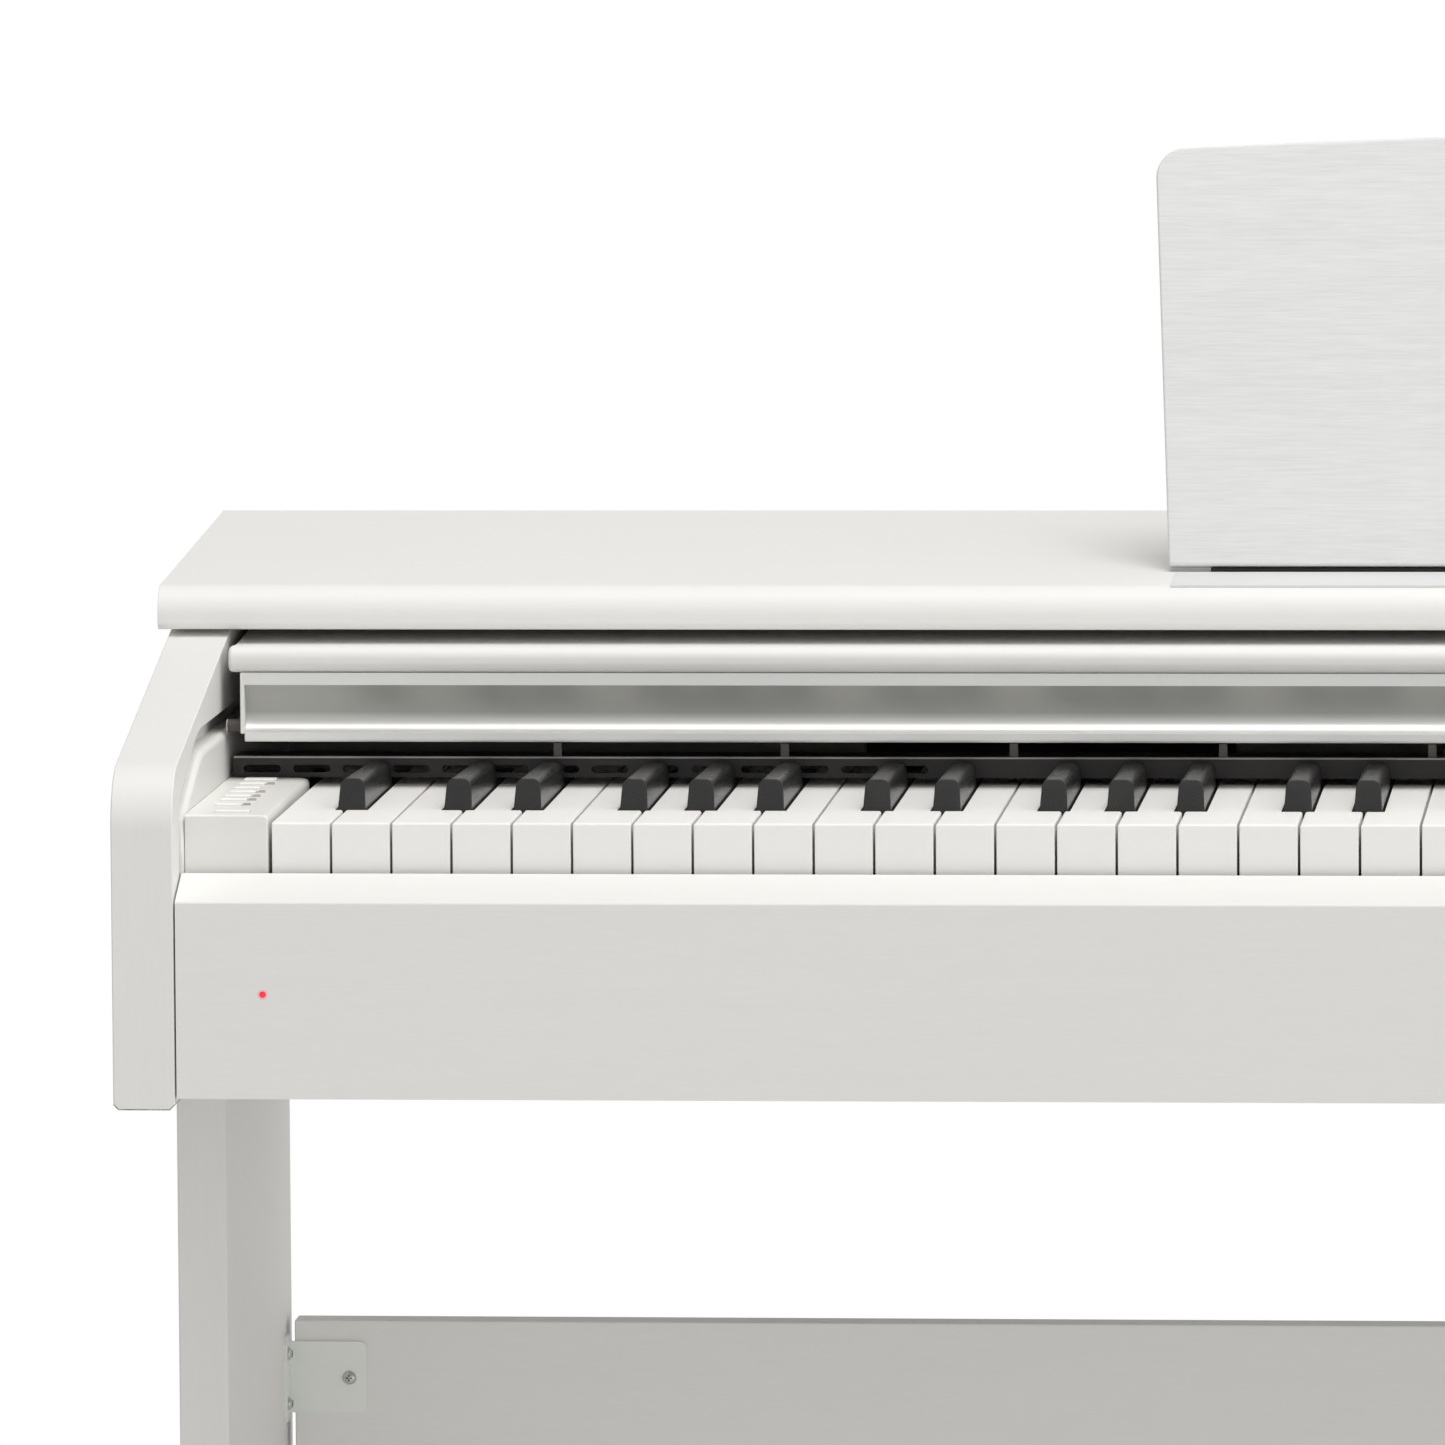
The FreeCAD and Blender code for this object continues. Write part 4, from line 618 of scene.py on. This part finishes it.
def piece(name, shape, material, body, width=0.0):
    """Makes a visible object of a shape, rides it on a body and gives it its material."""
    mesh = bpy.data.meshes.new(name)
    shape.to_mesh(mesh)
    shape.free()
    made = bpy.data.objects.new(name, mesh)
    bpy.context.scene.collection.objects.link(made)
    made.data.materials.append(material)
    round_edges(made, width)
    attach(made, body)
    return made


def islands(node):
    """The box of each separate solid of a CAD node."""
    shape = bmesh.new()
    shape.from_mesh(frame["nodes"][node].data)
    bmesh.ops.remove_doubles(shape, verts=shape.verts, dist=MERGE_DISTANCE)
    waiting = set(shape.verts)
    boxes = []
    while waiting:
        found = [waiting.pop()]
        for vert in found:
            for edge in vert.link_edges:
                other = edge.other_vert(vert)
                if other in waiting:
                    waiting.discard(other)
                    found.append(other)
        low = Vector([min(vert.co[axis] for vert in found) for axis in range(3)])
        high = Vector([max(vert.co[axis] for vert in found) for axis in range(3)])
        boxes.append((low, high))
    shape.free()
    return sorted(boxes, key=lambda box: tuple(round(value, 5) for value in (*box[0], *box[1])))


def facing(place, direction):
    """A matrix at a place whose Z axis points along a direction."""
    return Matrix.Translation(place) @ Vector(direction).to_track_quat("Z", "Y").to_matrix().to_4x4()


def lamp_pieces():
    """The red power lamp in a pale ring that glows pink as painted light, and the unlit squares beside the
    buttons.
    """
    boxes = islands("indicator_lamps")
    power = min(boxes, key=lambda box: box[0].z)
    squares = [box for box in boxes if box is not power]
    middle = (power[0] + power[1]) / 2
    front = power[0].y
    turn = facing((middle.x, front, middle.z), (0, -1, 0))
    dome = [(1.30 * MM, -6 * MM), (1.30 * MM, -0.30 * MM), (1.15 * MM, -0.08 * MM), (0.70 * MM, 0.02 * MM),
            (0.25 * MM, 0.05 * MM)]
    lens = wheel(dome, 32, turn)
    lens_piece = piece("power_lamp_lens", lens, MATERIALS["lamp"], "cabinet")
    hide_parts("indicator_lamps")
    ring = ring_band(1.28 * MM, 2.0 * MM, -0.3 * MM, 0.03 * MM, 40, turn)
    # Painted glow: the pale pink ring emits light as a halo round the lamp, though it is no lamp itself.
    glow_paint = lamp_lens("lamp_painted_glow", (0.93, 0.55, 0.55), 0.12)
    piece("power_lamp_glow_ring", ring, glow_paint, "cabinet")
    shapes = [slab(low, high) for low, high in squares]
    unlit = lamp_lens("lamp_unlit", (0.51, 0.44, 0.39), 0.0)
    piece("button_lamps", joined(shapes), unlit, "cabinet", 0.2 * MM)


CLIP_REACH = [0.515, 0.4238, 0.3321, 0.2485, 0.1652, 0.0820]


def rail_clips():
    """Small grey guide clips that stand on the rail's flange behind its front face."""
    low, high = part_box("key_back_rail")
    shapes = []
    for x in [-value for value in CLIP_REACH] + [0.0] + CLIP_REACH[::-1]:
        base = high.z - 0.05 * MM
        front = low.y + 5.0 * MM
        shapes.append(slab((x - 1.7 * MM, front, base), (x + 1.7 * MM, front + 1.2 * MM, base + 3.6 * MM)))
        shapes.append(slab((x - 1.6 * MM, front - 0.6 * MM, base + 3.4 * MM),
                           (x + 1.6 * MM, front + 2.4 * MM, base + 5.4 * MM)))
    grey = fine_plastic("clip_grey", (0.30, 0.29, 0.27), 0.5)
    piece("rail_clips", joined(shapes), grey, "cabinet", 0.2 * MM)


def rail_edge():
    """The rolled top edge of the rail, in a light grey that paints the highlight it catches."""
    low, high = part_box("key_back_rail")
    radius = 0.45 * MM
    outline = [(low.y + 0.30 * MM + radius * math.cos(angle), high.z - 0.10 * MM + radius * math.sin(angle))
               for angle in (2 * math.pi * step / 16 for step in range(16))]
    # Painted highlight: the edge's grey is much lighter than the black rail.
    edge_highlight_grey = painted_steel("rail_edge_highlight", (0.52, 0.50, 0.48), 0.35)
    piece("rail_edge", prism(outline, 0, low.x, high.x), edge_highlight_grey, "cabinet")


def arm_feet():
    """Bare chipboard at the cut bottom ends of the side arms."""
    skin = 0.06 * MM
    chamfer = 2.0 * MM
    height = 2.3 * MM
    material = chipboard()
    for word in ("left", "right"):
        low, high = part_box("side_arm_" + word)
        outline = [(low.x + chamfer, low.z - skin), (high.x - chamfer, low.z - skin),
                   (high.x + skin, low.z + chamfer), (high.x + skin, low.z + height),
                   (low.x - skin, low.z + height), (low.x - skin, low.z + chamfer)]
        foot = prism(outline, 1, low.y + skin, high.y - skin)
        piece("arm_foot_" + word, foot, material, "cabinet", 0.15 * MM)


STUB_Y, STUB_HEIGHT = -42.0 * MM, 759.6 * MM


def guide_sleeves():
    """Dark nylon sleeves on the cover's guide stubs."""
    stub_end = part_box("fallboard_end_caps")[1].x
    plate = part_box("fallboard_trim")[1].x + 1.7 * MM
    material = fine_plastic("guide_nylon", (0.075, 0.065, 0.055), 0.5)
    for word, sign in (("left", -1), ("right", 1)):
        turn = facing((sign * plate, STUB_Y, STUB_HEIGHT), (sign, 0, 0))
        length = stub_end - plate
        profile = [(2.5 * MM, 0.0), (2.72 * MM, 0.2 * MM), (2.72 * MM, length - 0.5 * MM),
                   (2.1 * MM, length + 0.05 * MM)]
        piece("guide_sleeve_" + word, wheel(profile, 32, turn), material, "fallboard")


def screw_recesses():
    """Cross slots in the heads of the stand's screws, as near-black bars that paint the shade inside them."""
    shapes = []
    for low, high in islands("stand_screws"):
        size = high - low
        middle = (low + high) / 2
        if size.x > size.y:
            head = 1 if middle.x < 0 else -1
            top = Vector((high.x if head > 0 else low.x, middle.y, middle.z))
            along = Vector((head, 0, 0))
        else:
            head = 1 if size.y > 15 * MM else -1
            top = Vector((middle.x, high.y if head > 0 else low.y, middle.z))
            along = Vector((0, head, 0))
        turn = facing(top - along * 0.55 * MM, along)
        for half_x, half_y in ((1.35 * MM, 0.3 * MM), (0.3 * MM, 1.35 * MM)):
            bar = slab((-half_x, -half_y, 0.0), (half_x, half_y, 0.53 * MM))
            bmesh.ops.transform(bar, matrix=turn, verts=bar.verts)
            shapes.append(bar)
    # Painted shade: the bars' near-black stands for the shadow inside each slot.
    dark = painted_steel("slot_painted_shade", (0.06, 0.06, 0.06), 0.5)
    piece("screw_recesses", joined(shapes), dark, "cabinet")


LID_SLOPE = 3.4


def rest_gap_strip():
    """A near-black strip on the lid just behind the music rest's lower edge, which darkens the gap beneath
    the rest.
    """
    strip_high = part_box("rest_strip")[1]
    slope = math.tan(math.radians(LID_SLOPE))
    start, end = strip_high.y + 6.2 * MM, strip_high.y + 9.2 * MM
    base_start = strip_high.z + (start - strip_high.y) * slope - 0.35 * MM
    outline = [(start, base_start), (end, base_start + (end - start) * slope),
               (end, base_start + 1.5 * MM), (start, base_start + 1.5 * MM)]
    half = strip_high.x - 14.4 * MM
    strip_black = fine_plastic("gap_strip_black", (0.03, 0.03, 0.028), 0.8)
    piece("rest_gap_strip", prism(outline, 0, -half, half), strip_black, "cabinet")


SPEAKER_X, SPEAKER_Y = 0.42, 0.124


def speaker_grilles():
    """Woven cloth on a rim inside each opening of the key bed."""
    bed_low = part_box("key_bed")[0]
    cloth = woven_cloth()
    rim = fine_plastic("grille_rim", (0.04, 0.04, 0.04), 0.5)
    for word, x in (("left", -SPEAKER_X), ("right", SPEAKER_X)):
        turn = facing((x, SPEAKER_Y, bed_low.z), (0, 0, -1))
        dome = [(42.6 * MM, -6 * MM), (42.6 * MM, -4 * MM), (36 * MM, -3.2 * MM), (20 * MM, -2.4 * MM),
                (2 * MM, -2 * MM)]
        piece("speaker_cloth_" + word, wheel(dome, 64, turn), cloth, "cabinet")
        band = ring_band(42.0 * MM, 43.9 * MM, -8 * MM, -0.6 * MM, 64, turn)
        piece("speaker_rim_" + word, band, rim, "cabinet", 0.3 * MM)


JACK_SHIFTS = (-62, -38, -14)
INLET_SHIFT = 52
PLATE_SCREW_INSET = 7 * MM


def jack_trim():
    """Nickel ferrules round the jacks, a contact tongue in the inlet and four screws on the plate."""
    low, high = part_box("rear_jack_plate")
    middle_z = (low.z + high.z) / 2
    centre_x = (low.x + high.x) / 2
    nickel = brushed_metal("nickel", (0.70, 0.69, 0.66), 0.25, 2)
    rings = []
    for shift in JACK_SHIFTS:
        turn = facing((centre_x + shift * MM, high.y, middle_z), (0, 1, 0))
        rings.append(ring_band(3.3 * MM, 5.4 * MM, -0.2 * MM, 0.9 * MM, 40, turn))
    piece("jack_ferrules", joined(rings), nickel, "cabinet", 0.25 * MM)
    tongue_x = centre_x + INLET_SHIFT * MM
    tongue = slab((tongue_x - 4 * MM, high.y - 9.5 * MM, middle_z - 1.2 * MM),
                  (tongue_x + 4 * MM, high.y - 2.5 * MM, middle_z + 1.2 * MM))
    piece("inlet_tongue", tongue, MATERIALS["white_plastic"], "cabinet", 0.2 * MM)
    heads = []
    profile = [(3.0 * MM, -0.2 * MM), (3.0 * MM, 0.5 * MM), (2.2 * MM, 1.2 * MM), (0.9 * MM, 1.5 * MM)]
    for x in (low.x + PLATE_SCREW_INSET, high.x - PLATE_SCREW_INSET):
        for z in (low.z + PLATE_SCREW_INSET, high.z - PLATE_SCREW_INSET):
            heads.append(wheel(profile, 28, facing((x, high.y, z), (0, 1, 0))))
    piece("plate_screws", joined(heads), MATERIALS["zinc"], "cabinet")


lamp_pieces()
rail_clips()
rail_edge()
arm_feet()
guide_sleeves()
screw_recesses()
rest_gap_strip()
speaker_grilles()
jack_trim()

bpy.context.scene.view_settings.view_transform = "Standard"
